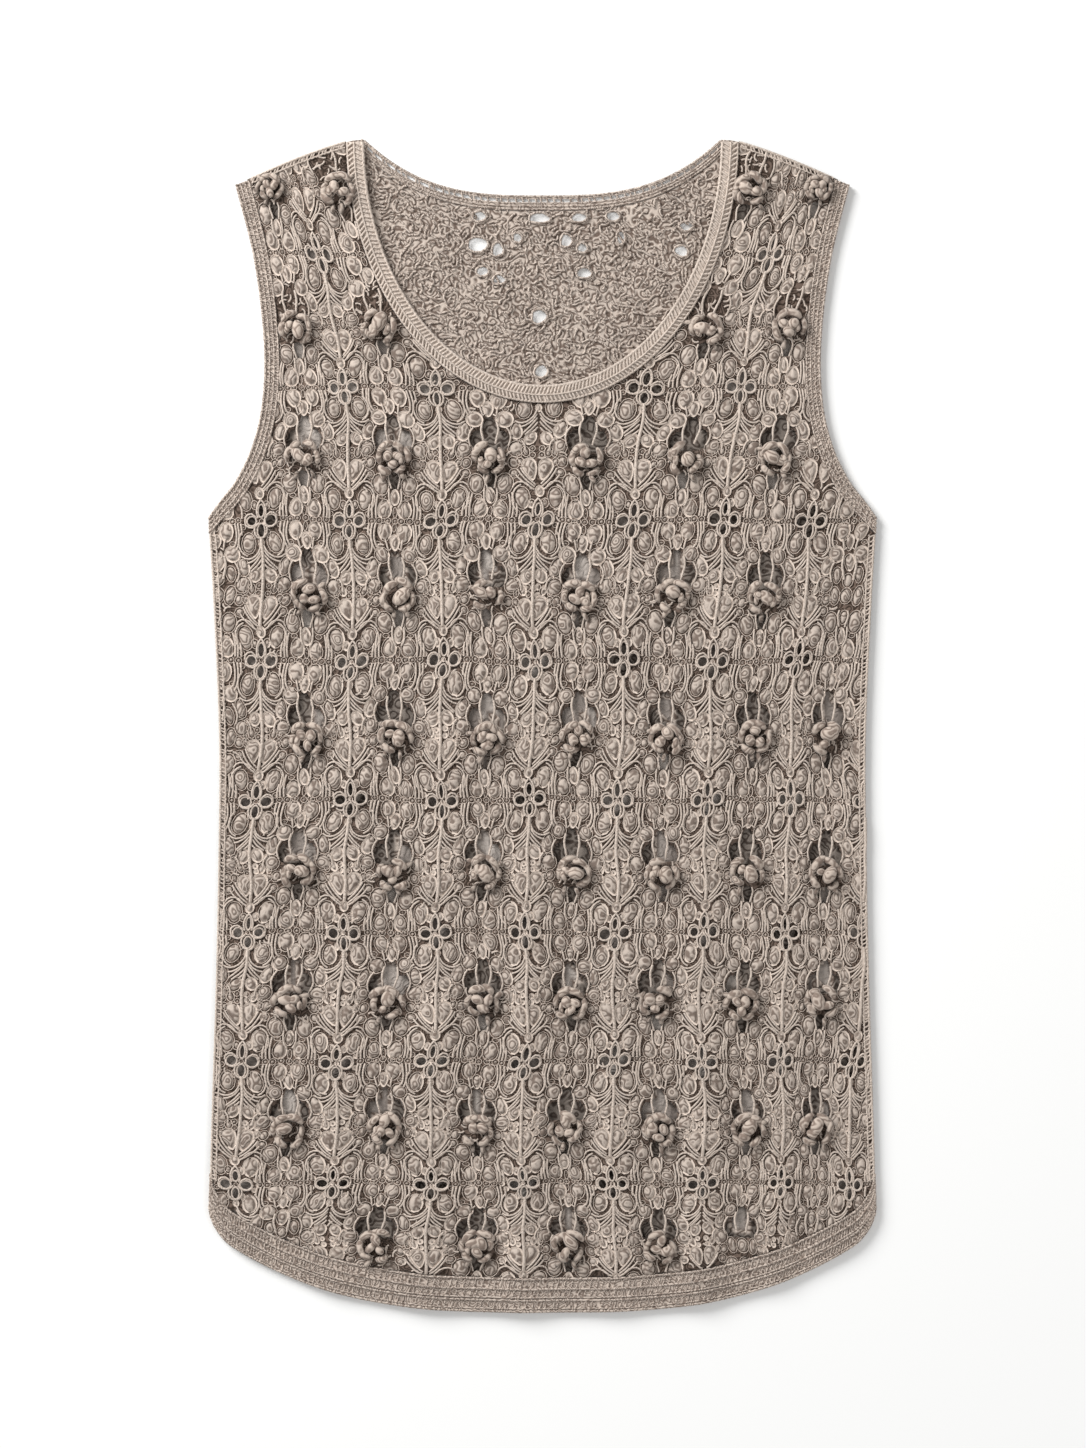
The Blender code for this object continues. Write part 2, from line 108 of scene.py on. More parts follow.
# Cells are (column, row) of the repeats that reach the front. Stems are half way between two flower columns,
# and crossings half way between two rows as well. The bare cell has the holes of a flower but no flower.
CELLS = [(column, row) for row in range(9) for column in range(-1, 8)]
STEMS = [(column + 0.5, row) for column, row in CELLS if column < 7]
CROSSINGS = [(column, row + 0.5) for column, row in STEMS if row < 8]
FLOWERS = [(column, row) for row, columns in enumerate(FLOWER_COLUMNS) for column in columns]
BARE_CELL = (5, 8)
OPEN_CELLS = [*FLOWERS, BARE_CELL]

# Folds of the front. Columns: place between flower columns, share of the height.
FOLDS = ((-0.5, 0.3), (0.5, 0.7), (1.5, 0.8), (2.5, 1.0), (3.5, 0.6), (4.5, 1.0), (5.5, 0.6), (6.5, 0.3))
FOLD_HEIGHT = 4.5 * MM
FOLD_START_DROP = 150 * MM
FOLD_HALF_WIDTH = 0.42
FOLD_FADE = 30 * MM

# Petals over the flower column of a repeat. Columns: x, y, half width, half height, lean of the top away
# from the middle in degrees, narrowing towards the bottom, share of the full relief. Each is mirrored.
FLOWER_COLUMN_PETALS = (
    (0, 28, 2.9, 4.8, 0, 0.25, 0.95),
    (0, 36.8, 1.3, 2.8, 0, 0, 0.8),
    (5.7, 34.2, 4.3, 5.8, 3, 0.15, 1),
    (8.3, 20.9, 4.7, 4.9, 0, 0, 1.05),
    (9.7, 27.4, 2, 1.6, 0, 0, 0.8),
    (14.7, 13.4, 3.6, 5.9, -12, -0.15, 0.95),
    (14.9, 2.2, 4.6, 4.9, 0, 0, 0.7),
    (13.3, -6.6, 3, 3.6, -20, 0, 0.75),
    (14.2, -13.4, 3, 3, 0, 0, 0.9),
    (8.3, -19.6, 4.8, 6.4, 6, 0.05, 0.9),
    (7.2, -27.2, 2, 1.4, 0, 0, 0.8),
    (0, -27, 2.8, 5, 0, -0.1, 0.95),
    (0, -36.4, 1.3, 3.2, 0, 0, 0.8),
    (5.9, -34.4, 4.3, 5.8, -3, -0.15, 1),
)

# Petals over the stem, which is half way between two flower columns.
STEM_PETALS = (
    (0, 27.4, 1.9, 2.7, 0, 0, 1),
    (8.2, 27.6, 4.4, 6.5, -8, -0.05, 0.85),
    (4.4, 32.6, 1.5, 2.6, 0, 0, 0.8),
    (4.4, 7.9, 3.5, 4.5, -25, 0, 0.95),
    (9.4, 6.4, 1.9, 2, 0, 0, 0.8),
    (2.8, 1.4, 1.8, 1.9, 0, 0, 0.8),
    (6.4, -0.4, 2.2, 3.2, 15, 0, 0.85),
    (2.7, -2.8, 1.7, 1.8, 0, 0, 0.8),
    (10.2, -1.2, 1.7, 2.8, 0, 0, 0.85),
    (4.3, -10.9, 4, 6.9, 14, 0.4, 1),
    (10, -6.6, 2.2, 2.8, 25, 0.2, 0.85),
    (0, -24.8, 2.7, 3.4, 0, 0, 1.1),
    (9.2, -28.4, 4.5, 6.7, 10, 0.12, 0.85),
    (3.6, -31.6, 2.2, 2.8, 0, 0, 0.85),
)

# Petals in the place of the flower and its holes, in a repeat that has none.
FILLER_PETALS = (
    (0, -4.4, 4.4, 5, 0, 0, 0.9),
    (0, 5.4, 3.4, 4.2, 0, 0, 0.85),
    (0, 15.8, 3.4, 5.2, 0, 0.2, 0.95),
    (7.6, -3.6, 3.4, 5.6, 12, 0, 0.85),
    (7, 8.6, 3.2, 5.2, -8, 0.2, 0.9),
    (0, -16.4, 3, 4.4, 0, 0.1, 0.9),
)

# Small rings on the chained row between repeats. Columns: whether it is over the stem, x, y, radius.
CHAIN_RINGS = (
    (0, 0, 41.1, 1.9),
    (0, 4.4, 41.1, 2),
    (0, 9, 41.1, 2),
    (0, 13.3, 41.1, 1.9),
    (1, 11.2, 37.6, 1.7),
    (1, 11.2, -37.4, 1.7),
    (1, 0, 40.9, 1.4),
)

# Cords. Columns: whether it is over the stem, thickness, then x and y of each point of its route.
CORDS = (
    (0, 1.4, ((3.9, 19.5), (4.7, 14), (3.7, 9), (3.2, 5.5))),
    (0, 1.1, ((9.6, 15.8), (11.4, 12.8), (12.2, 8.6), (11, 4))),
    (0, 1.2, ((10.8, 39.4), (11.7, 35), (11.9, 30.4), (11, 26.4), (9.4, 24.6))),
    (0, 1.2, ((12.8, 39.6), (13.6, 35), (13.7, 30.4), (13, 26.4), (11.6, 23.6))),
    (0, 1.2, ((14.9, 39.4), (15.5, 35.8), (15.4, 32.4))),
    (0, 1.1, ((5.2, 30.2), (4.2, 26.6), (3.7, 23.4), (2, 24.8))),
    (0, 1.2, ((10.4, -25.8), (11.3, -30.6), (11.6, -35), (11.2, -39.4))),
    (0, 1.2, ((12.2, -24.6), (13.2, -30), (13.5, -35), (13.2, -39.6))),
    (0, 1.2, ((14.6, -31.4), (15.4, -35.4), (15.3, -39.4))),
    (0, 1.1, ((3.4, -22), (3.6, -26), (3.2, -30), (1.6, -33))),
    (0, 1.1, ((2.9, -12.6), (3.6, -15.4), (2.6, -19.4), (2, -22))),
    (0, 1.1, ((20.4, 0), (20, 4.4), (18, 7.2))),
    (0, 1.1, ((12.6, -21.6), (14.4, -18.9), (17.6, -18.2), (21.2, -19.8), (23.4, -23))),
    (1, 2, ((0, 31), (0.3, 20), (-0.3, 10), (0, -2.6), (0.2, -8), (0, -21.6))),
    (1, 1.1, ((0.8, 25.8), (2.8, 21.6), (6.6, 18.6), (10.4, 18.2), (13.2, 19.8))),
    (1, 1.1, ((0.8, 23.2), (3, 19.4), (6.6, 16.6), (9.8, 15.6))),
    (1, 1.1, ((0.8, 20.6), (3.4, 17), (6.4, 13.8), (8.6, 11.6))),
    (1, 1.1, ((0.8, 18), (3, 14.8), (5.6, 12.4), (7.6, 10.6))),
    (1, 1.1, ((0.7, 14.6), (2.4, 12.4), (3.6, 11.6))),
    (1, 1.1, ((1.6, -20.4), (5.4, -16.4), (8.4, -12.2), (9.6, -9.6))),
    (1, 1.1, ((2, -22), (6.2, -18.2), (9.6, -13.6), (11.2, -10.8))),
    (1, 1.1, ((2.4, -23.6), (6.8, -20.2), (10.6, -16.6), (12.4, -14))),
    (1, 1.1, ((9.2, 19.4), (12.3, 21.7), (14, 26.2), (13.6, 31), (11.2, 34.8))),
    (1, 1.1, ((10.2, -20), (13.5, -22.4), (15.2, -27), (14.7, -31.9), (12.2, -35.8))),
    (1, 1.2, ((0, 29.8), (2.8, 31.4), (4, 36), (2.6, 39.4))),
    (1, 1.2, ((0, -28.6), (2, -31.4), (2.9, -36), (2, -39.6))),
    (1, 1.2, ((1.2, 40), (2.6, 38.2), (6, 37), (9.2, 38.6), (9.8, 41.2))),
    (1, 1.2, ((2.4, -39.6), (6, -36.6), (9.2, -38), (9.8, -41))),
)

# Holes of a repeat, as corners of half of each. The first is open round the top of the flower.
CROWN_HOLE = (
    *((0, 23), (2.2, 22.6), (3.8, 17.6), (4.9, 13.6), (8.7, 13.8)),
    *((10.6, 10.6), (11.3, 6.6), (10, 2.4), (8, 1.4), (0, 1.4)),
)
FOOT_HOLE = ((0, -11.8), (3.1, -12.8), (3.7, -15.4), (2.7, -19.4), (2.4, -21.6), (0, -22.2))

# Round holes about the middle of four repeats. Columns: x, y, half width, half height.
ROUND_HOLES = ((-5.9, -0.3, 3.4, 3.6), (5.9, -0.3, 3.4, 3.6), (0, 5.8, 2, 4.4), (0, -6.4, 2.3, 4.4))
ROUND_HOLE_CORNERS = 9

# Stuffed petals round a flower, each on both sides. Columns: place, chance that it is there, degrees from the
# top, distance from the middle, slant in degrees, length, radius, bend round the middle, height.
FLOWER_SIDE_PETALS = (
    ("crown", 0.9, 30, 9, 0, 10.2, 2.3, 1.8, 4),
    ("side", 0.92, 85, 9, 0, 9.6, 1.9, 1.8, 3),
    ("foot", 0.85, 138, 8.6, 0, 8.2, 2.1, 1.5, 3.1),
    ("inner side", 0.35, 100, 5.4, 15, 6, 1.7, 0.9, 4.2),
    ("standing", 0.25, 55, 10.4, 80, 5.6, 1.6, 0.4, 2.6),
    ("hanging", 0.55, 160, 11.6, 90, 5.6, 1.4, 0.2, 2),
)

# Balls of a flower, one row of them for each kind of flower. Columns of each: x, y, radius, chance.
FLOWER_BALLS = (
    ((-2.4, 1.2, 4.2, 1), (3.2, -1.2, 3.4, 0.9)),
    ((0.6, 2.6, 4.7, 1), (-2.4, -3.4, 2.9, 0.9)),
    ((1.8, -0.2, 4.5, 1), (-3.6, 2.2, 2.8, 0.8)),
    ((0.2, 4.6, 3.7, 1), (-3, -1.2, 3.2, 1), (3, -2.2, 3, 0.9)),
    ((-2.8, 2.2, 3.5, 1), (2.9, 1.8, 3.3, 1), (0.2, -3.4, 3.2, 0.8)),
)

FLOWER_CHART_RADIUS = 11
SHOULDER_FLOWER = 0.8

# Gaps in the back that show inside the neck. Columns: x, drop, width, height, in millimetres.
BACK_HOLES = (
    *((-62, 39, 8, 6), (-38, 46, 8, 6), (-2, 47, 13, 6), (22, 47, 9, 6), (42, 46, 8, 6), (-39, 63, 12, 8)),
    *((-27, 66, 7, 8), (-15, 59, 6, 6), (14, 61, 7, 8), (24, 65, 6, 6), (47, 59, 5, 8), (86, 52, 8, 6)),
    *((83, 67, 8, 7), (-36, 79, 8, 6), (-26, 84, 8, 6), (25, 80, 9, 7), (-2, 106, 9, 9), (-1, 139, 8, 8)),
)
BACK_HOLES_SEED = 3

# Cords of the net on the back, and short curls on the front. Swirls: share of the turn, size.
MEANDER_POINTS = 26
MEANDER_STEP = 0.9 * MM
MEANDER_RADIUS = 0.7 * MM
MEANDER_SPACING = 1.42 * MM
MEANDER_SWIRLS = ((6.0, 15 * MM), (2.2, 5 * MM))
CROSSING_CHANCE = 0.22
CURL_STEP = 1.3 * MM
CURL_RADIUS = 0.55 * MM
CURL_SWIRL = 14 * MM

# Painted shade and light on a petal: its side wall and the groove inside its rim cord are painted darker, the
# rim cord lighter as a lit crest. Columns: distance in from a petal's rim in millimetres, share of its colour.
PETAL_PAINTED_SHADE = ((0.0, 0.5), (0.2, 1.22), (1.05, 1.22), (1.4, 0.62), (1.8, 0.86), (6.0, 0.9))
RIM_CORD = (1.1, 1.5)

# Painted shade and light on a flower: dark low down between its petals and balls, lighter on its tops.
# Columns: height over the ground in millimetres, share of its colour.
BOBBLE_PAINTED_SHADE = ((0.0, 0.16), (1.8, 0.36), (3.8, 0.84), (6.0, 1.08), (10.0, 1.14))

# Steps in from the side of a petal: the width and the rise of each, in millimetres and shares of its relief.
PETAL_STEPS = ((0.3, 0.4), (0.8, 0.0), (0.4, -0.45))
SMALL_PETAL = 3.2
PETAL_TURN = 8
PETAL_GROWTH = (1.0, 1.14)
PETAL_SUNK = 0.15 * MM
LARGEST_MOVE = 3.2 * MM
TINY = 1e-6

# Painted shade on the ground of the back: deep where the front lies over it, pale inside the neck. Columns:
# its attribute, share of the yarn's colour.
BACK_PAINTED_SHADE = ((0.0, 0.05), (0.4, 0.92), (1.0, 0.92))
IN_SHADE = 0.12
IN_NECK = 0.4
# Attribute values painted as light falling through the holes of the front.
OPEN_TO_LIGHT = (0.65, 1.0)
NECK_LIGHT_REACH = 1.08

# Patches of the back under holes of the front, painted as light falling through them. Columns: x, y, half
# width, half height, chance of painted light there.
FLOWER_PATCHES = (
    (0.0, 14.5, 4.4, 9.5, 0.55),
    (-8.4, 10.0, 4.4, 9.5, 0.3),
    (8.4, 10.0, 4.4, 9.5, 0.3),
    (0.0, -17.0, 4.4, 9.5, 0.35),
)
STEM_PATCHES = ((0.0, 0.0, 12.0, 12.0, 0.65),)

PHOTO_WIDTH = 1086
PHOTO_HEIGHT = 1448
PHOTO_SCALE = 0.6 * MM
PHOTO_TOP_ROW = 140
PHOTO_MIDDLE_COLUMN = 542.5


def linear(hex_colour):
    """An sRGB hex colour as linear red, green, blue and alpha."""
    parts = [int(hex_colour[k : k + 2], 16) / 255 for k in (0, 2, 4)]
    return (*[c / 12.92 if c <= 0.04045 else ((c + 0.055) / 1.055) ** 2.4 for c in parts], 1.0)


# Shape of the cloth. Plan points are arrays with a row for each point.


def hermite(t, start, end, start_slope, end_slope):
    rise = t * t * (3 - 2 * t)
    return start + (end - start) * rise + t * (1 - t) ** 2 * start_slope - t * t * (1 - t) * end_slope


def through(places, values, at):
    """A smooth curve through values at places, read at an array of places, and straight beyond its ends."""
    places, values = np.asarray(places, float), np.asarray(values, float)
    steps = np.diff(values) / np.diff(places)
    inner = (values[2:] - values[:-2]) / (places[2:] - places[:-2])
    slopes = np.concatenate([steps[:1], inner, steps[-1:]])
    i = np.clip(np.searchsorted(places, at, side="right") - 1, 0, len(steps) - 1)
    span = places[i + 1] - places[i]
    t = (at - places[i]) / span
    curve = hermite(t, values[i], values[i + 1], slopes[i] * span, slopes[i + 1] * span)
    return np.where((t < 0) | (t > 1), values[i] + (values[i + 1] - values[i]) * t, curve)


def smooth(t):
    t = np.clip(t, 0, 1)
    return t * t * (3 - 2 * t)


def by_drop(table, k, drop):
    """Column k of a table whose first column is the drop."""
    columns = np.array(table, float).T
    return through(columns[0], columns[k], np.asarray(drop) / MM) * MM


def side_half(drop):
    return by_drop(SIDE, 1, drop)


def armhole_half(drop):
    return by_drop(ARMHOLE, 1, drop)


def hem_drop(x):
    rise = HEM_RISE * (np.abs(x) / HEM_RISE_HALF) ** 3
    into_corner = np.clip((np.abs(x) - (HEM_HALF - HEM_CORNER)) / HEM_CORNER, 0, 1)
    return LENGTH - rise - HEM_CORNER * (1 - np.sqrt(1 - into_corner**2))


def shoulder_drop(x):
    share = (np.abs(x) - SHOULDER_NECK_HALF) / (SHOULDER_TIP_HALF - SHOULDER_NECK_HALF)
    return SHOULDER_TIP_DROP * np.maximum(share, 0) ** SHOULDER_BOW


def back_neck_drop(x):
    return BACK_NECK_DROP * (1 - np.minimum(np.abs(x) / NECK_HALF, 1) ** 3)


def front_neck(angles, reach):
    return (NECK_HALF + reach) * np.cos(angles), TOP - (FRONT_NECK_DROP + reach) * np.sin(angles)


def neck_share(points, more=0.0):
    """Under 1 for plan points inside the front neck, or inside one that is wider all round."""
    return np.hypot(points[:, 0] / (NECK_HALF + more), (TOP - points[:, 1]) / (FRONT_NECK_DROP + more))


def column_places(drop):
    """x of flower columns -1 to 7 at each drop, one row for each drop."""
    inner = np.stack([by_drop(REPEAT_ROWS, k, drop) for k in range(1, 8)], axis=-1)
    first = 2 * inner[..., :1] - inner[..., 1:2]
    last = 2 * inner[..., -1:] - inner[..., -2:-1]
    return np.concatenate([first, inner, last], axis=-1)


def lattice(cell, chart):
    """Plan points of chart points in a cell, or each in a cell of its own, straying as handwork does."""
    column, row = cell
    x, y = np.asarray(chart, float).T
    drops = np.array(REPEAT_ROWS, float)[:, 0]
    drop = through(range(len(drops)), drops, row - y / REPEAT_HEIGHT) * MM
    places = column_places(drop)
    at = column + x / REPEAT_WIDTH + 1
    i = np.clip(np.floor(at).astype(int), 0, 7)
    rows = np.arange(len(places))
    before, start, end, after = (places[rows, np.clip(i + k, 0, 8)] for k in (-1, 0, 1, 2))
    start_slope = np.where(i > 0, (end - before) / 2, end - start)
    end_slope = np.where(i < 7, (after - start) / 2, end - start)
    plan_x = hermite(at - i, start, end, start_slope, end_slope)
    plan_y = TOP - drop + FLOWER_BELOW_CENTRE * MM
    u, v = plan_x / MM, plan_y / MM
    stray_x = 0.9 * np.sin(v / 17 + u / 41) + 0.5 * np.sin(v / 7.3 + 2)
    stray_y = 0.8 * np.sin(u / 19 - v / 37) + 0.5 * np.sin(u / 8.1 + 1)
    return np.stack([plan_x + stray_x * MM, plan_y + stray_y * MM], axis=1)


def column_at(x, drop):
    """Which flower column each x lies at, as a number with a fraction."""
    places = column_places(drop)
    i = np.clip((places <= np.asarray(x)[..., None]).sum(axis=-1) - 1, 0, 7)
    low = np.take_along_axis(places, i[..., None], -1)[..., 0]
    high = np.take_along_axis(places, i[..., None] + 1, -1)[..., 0]
    return i - 1 + (x - low) / (high - low)


def front_low(x, y):
    """Height of the underside of the front, which is folded softly over the back and flatter at the hem."""
    drop = TOP - y
    grown = FOLD_HEIGHT * np.maximum(drop - FOLD_START_DROP, 0) / (LENGTH - FOLD_START_DROP)
    place = column_at(x, drop)
    ridges = [share * smooth(1 - np.abs(place - at) / FOLD_HALF_WIDTH) for at, share in FOLDS]
    fade = smooth((side_half(drop) - np.abs(x)) / FOLD_FADE)
    flatter = 1 - 0.6 * smooth(1 - (hem_drop(x) - drop) / (2 * HEM_BAND))
    return WALL + SEAM_GAP + grown * np.max(ridges, axis=0) * fade * flatter


def back_low(x, _y):
    return np.zeros_like(x)


def on_cloth(points, low, height):
    """Plan points as points in space, at a height over the underside of the cloth."""
    return np.column_stack([points, low(*points.T) + height])


def kept_in(points, margin=0.0, front=True):
    """Points moved to the nearest place inside the bands and seams of a panel, a margin in from them."""
    x, drop = points[:, 0], TOP - points[:, 1]
    edge = margin + SEAM_GAP
    if front:
        wide, deep = NECK_HALF + NECK_BINDING + edge, FRONT_NECK_DROP + NECK_BINDING + edge
        share = np.hypot(x / wide, np.maximum(drop, 1e-6) / deep)
        grow = np.where(share < 1, 1 / np.maximum(share, 1e-3), 1)
        x, drop = x * grow, drop * grow
    else:
        neck = back_neck_drop(x) + BACK_NECK_BAND + edge
        drop = np.where(np.abs(x) < NECK_HALF, np.maximum(drop, neck), drop)
    under = smooth((drop - UNDERARM_DROP) / ARMHOLE_BAND)
    arm = armhole_half(np.minimum(drop, UNDERARM_DROP)) - (ARMHOLE_BAND + SEAM_GAP)
    half = np.where(drop < UNDERARM_DROP, arm, arm + (side_half(drop) - arm) * under) - margin
    x = np.where(np.abs(x) > half, np.sign(x) * half, x)
    drop = np.maximum(drop, shoulder_drop(x) + margin)
    drop = np.minimum(drop, hem_drop(x) - HEM_BAND - edge)
    return np.stack([x, TOP - drop], axis=1)


def moved_by(points, margin=0.0, front=True):
    return np.hypot(*(kept_in(points, margin, front) - points[:, :2]).T)


# Building


def new_object(name, mesh, *materials):
    mesh.name = name
    mesh.materials.clear()
    for material in materials:
        mesh.materials.append(material)
    obj = bpy.data.objects.new(name, mesh)
    bpy.context.scene.collection.objects.link(obj)
    return obj


def finish_piece(obj, slot, *nodes):
    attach(obj, "root")
    if nodes:
        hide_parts(*nodes)


def set_rim(mesh, values):
    """Keeps a number for each point, which the yarn is shaded by."""
    mesh.attributes.new("rim", "FLOAT", "POINT").data.foreach_set("value", values.astype(np.float32))


def joined(name, parts, material):
    """One smooth mesh of many (points, faces, rims) parts."""
    points, faces, rims = zip(*parts)
    starts = np.cumsum([0, *map(len, points)]).tolist()
    shifted = [[i + start for i in face] for part, start in zip(faces, starts) for face in part]
    mesh = bpy.data.meshes.new(name)
    mesh.from_pydata(np.concatenate(points), [], shifted)
    set_rim(mesh, np.concatenate(rims))
    mesh.shade_smooth()
    return new_object(name, mesh, material)


def petal(half_width, half_height, narrowing, relief):
    """Points in millimetres, faces and rims of a petal: a raised cord round a lower, domed filling."""
    bm = bmesh.new()
    rim = bm.verts.layers.float.new("rim")
    corners = 8 if max(half_width, half_height) < SMALL_PETAL else 12
    bmesh.ops.create_circle(bm, cap_ends=True, segments=corners, radius=1.0)
    for vert in bm.verts:
        x, y, _ = vert.co
        vert.co = (x * half_width * (1 + narrowing * y), y * half_height, 0)
    bm.faces.ensure_lookup_table()
    bottom = bm.faces[0]
    bmesh.ops.reverse_faces(bm, faces=[bottom])
    lifted = bmesh.ops.extrude_face_region(bm, geom=[bottom])["geom"]
    top = [f for f in lifted if isinstance(f, bmesh.types.BMFace)][0]
    bmesh.ops.translate(bm, verts=top.verts, vec=(0, 0, 0.5 * relief))
    inset = 0.0
    size = min(half_width, half_height)
    for thickness, height in PETAL_STEPS:
        if inset + thickness > 0.85 * size:
            break
        depth = height * relief
        bmesh.ops.inset_region(bm, faces=[top], thickness=thickness, depth=depth, use_even_offset=True)
        inset += thickness
        for vert in top.verts:
            vert[rim] = inset
    middle = bmesh.ops.poke(bm, faces=[top])["verts"][0]
    middle.co.z += 0.3 * relief
    middle[rim] = size
    bmesh.ops.recalc_face_normals(bm, faces=bm.faces)
    bm.verts.index_update()
    points = np.array([v.co for v in bm.verts])
    rims = np.array([v[rim] for v in bm.verts])
    faces = [[v.index for v in f.verts] for f in bm.faces]
    bm.free()
    return points, faces, rims


def laid_petals(chart, cells, values, rng):
    """Jittered copies of charted petals in each cell, without those that the edge of the front would crush."""
    parts = []
    for x, y, half_width, half_height, lean, narrowing, share in chart:
        points, faces, rims = petal(half_width, half_height, narrowing, values.relief * share)
        for side in (1, -1) if x else (1,):
            for cell in cells:
                turn = -side * math.radians(lean + rng.uniform(-PETAL_TURN, PETAL_TURN))
                grow = rng.uniform(*PETAL_GROWTH)
                middle = (side * x + rng.uniform(-0.5, 0.5), y + rng.uniform(-0.5, 0.5))
                cos, sin = math.cos(turn), math.sin(turn)
                flat = grow * (points[:, :2] @ ((cos, sin), (-sin, cos))) + middle
                parts.append((cell, flat, points[:, 2], faces, rims))
    counts = [len(part[1]) for part in parts]
    starts = np.cumsum([0, *counts])
    cell_of_each = np.repeat([part[0] for part in parts], counts, axis=0).T
    plan = lattice(cell_of_each, np.concatenate([part[1] for part in parts]))
    moved = moved_by(np.add.reduceat(plan, starts[:-1]) / np.array(counts)[:, None])
    height = np.concatenate([part[2] for part in parts]) * MM + values.ground - PETAL_SUNK
    points = on_cloth(kept_in(plan), front_low, height)
    return [
        (points[start:end], *part[3:])
        for start, end, part, move in zip(starts, starts[1:], parts, moved)
        if move < LARGEST_MOVE
    ]


def cord_mesh(name, routes, sides=4):
    """One mesh of round cords. A route is (points, radii, whether it is closed), in metres."""
    curve = bpy.data.curves.new(name, "CURVE")
    curve.dimensions = "3D"
    curve.bevel_depth = 1.0
    curve.bevel_resolution = (sides - 4) // 2
    curve.use_fill_caps = True
    for points, radii, closed in routes:
        spline = curve.splines.new("POLY")
        spline.points.add(len(points) - 1)
        spline.points.foreach_set("co", np.column_stack([points, np.ones(len(points))]).ravel())
        spline.points.foreach_set("radius", np.asarray(radii, float) * np.ones(len(points)))
        spline.use_cyclic_u = closed
    obj = bpy.data.objects.new(name, curve)
    bpy.context.scene.collection.objects.link(obj)
    depsgraph = bpy.context.evaluated_depsgraph_get()
    mesh = bpy.data.meshes.new_from_object(obj.evaluated_get(depsgraph))
    bpy.data.objects.remove(obj)
    bpy.data.curves.remove(curve)
    mesh.shade_smooth()
    return mesh


def eased(points, step):
    """A smooth route through a few chart points, with a point about every step."""
    points = np.asarray(points, float)
    lengths = np.concatenate([[0], np.cumsum(np.linalg.norm(np.diff(points, axis=0), axis=1))])
    at = np.linspace(0, lengths[-1], max(2, round(lengths[-1] / step) + 1))
    return np.stack([through(lengths, values, at) for values in points.T], axis=1)


def ring_points(x, y, half_width, half_height, corners):
    turns = np.arange(corners) * math.tau / corners
    return np.stack([x + half_width * np.cos(turns), y + half_height * np.sin(turns)], axis=1)


def loop_area(loop):
    x, y = loop.T
    return 0.5 * float(np.sum(x * np.roll(y, -1) - y * np.roll(x, -1)))


def within(points, loop):
    """Whether each point lies inside a closed loop."""
    x, y = points.T
    found = np.zeros(len(x), bool)
    for (ax, ay), (bx, by) in zip(loop, np.roll(loop, -1, axis=0)):
        if ay != by:
            found ^= ((ay > y) != (by > y)) & (x < ax + (bx - ax) * (y - ay) / (by - ay))
    return found


def far_from(points, shapes, margin, size=np.max):
    """Whether each plan point is more than a margin outside the circle round every shape."""
    clear = np.ones(len(points), bool)
    for shape in shapes:
        middle = shape.mean(axis=0)
        reach = size(np.linalg.norm(shape - middle, axis=1)) + margin
        clear &= np.hypot(*(points - middle).T) > reach
    return clear


def lace_sheet(name, outline, holes, low, spacing, thickness, material):
    """A thin closed sheet over a plan outline, with holes cut through it, on the form of the cloth."""
    loops = [outline, *holes]
    xs, ys = (np.arange(values.min(), values.max(), spacing) for values in outline.T)
    loose = np.stack(np.meshgrid(xs, ys), axis=-1).reshape(-1, 2)
    loose = loose[within(loose, outline)]
    loose = loose[far_from(loose, holes, 0.25 * spacing)]
    edges = []
    for loop in loops:
        start = len(edges)
        edges += [(start + i, start + (i + 1) % len(loop)) for i in range(len(loop))]
    found = delaunay_2d_cdt([Vector(p) for p in np.concatenate([*loops, loose])], edges, [], 0, 1e-9)
    flat = np.array(found[0])
    faces = np.array(found[2])
    middles = flat[faces].mean(axis=1)
    keep = within(middles, outline)
    for hole in holes:
        keep &= ~within(middles, hole)
    mesh = bpy.data.meshes.new(name)
    mesh.from_pydata(on_cloth(flat, low, thickness), [], faces[keep].tolist())
    bm = bmesh.new()
    bm.from_mesh(mesh)
    bmesh.ops.delete(bm, geom=[v for v in bm.verts if not v.link_faces], context="VERTS")
    bm.to_mesh(mesh)
    bm.free()
    mesh.shade_smooth()
    obj = new_object(name, mesh, material)
    solidify = obj.modifiers.new("thickness", "SOLIDIFY")
    solidify.thickness = thickness
    solidify.offset = -1
    return obj


def panel_outline(front):
    """The outline of a panel, from the middle of the hem band round to it again."""
    inner_hem = np.linspace(0, HEM_HALF - 3 * MM, 40)
    hem = np.stack([inner_hem, TOP - hem_drop(inner_hem) + HEM_BAND + SEAM_GAP], axis=1)
    drops = np.linspace(TOP - hem[-1, 1] - 6 * MM, UNDERARM_DROP + ARMHOLE_BAND, 60)
    side = np.stack([side_half(drops), TOP - drops], axis=1)
    drops = np.linspace(UNDERARM_DROP, SHOULDER_TIP_DROP, 36)
    arm = np.stack([armhole_half(drops) - ARMHOLE_BAND - SEAM_GAP, TOP - drops], axis=1)
    arm = arm[arm[:, 0] < side[-1, 0]]
    arm[-1, 1] = TOP - shoulder_drop(arm[-1, 0])
    end = NECK_HALF + (NECK_BINDING if front else 0) + SEAM_GAP
    xs = np.linspace(arm[-1, 0], end, 12)[1:]
    shoulder = np.stack([xs, TOP - shoulder_drop(xs)], axis=1)
    right = np.concatenate([hem, side, arm, shoulder])
    if front:
        neck = front_neck(np.linspace(0.03, math.pi - 0.03, 60), NECK_BINDING + SEAM_GAP)
    else:
        xs = np.linspace(NECK_HALF, -NECK_HALF, 40)
        neck = (xs, TOP - (back_neck_drop(xs) + BACK_NECK_BAND + SEAM_GAP))
    left = right[::-1] * (-1, 1)
    return np.concatenate([right, np.stack(neck, axis=1), left[:-1]])


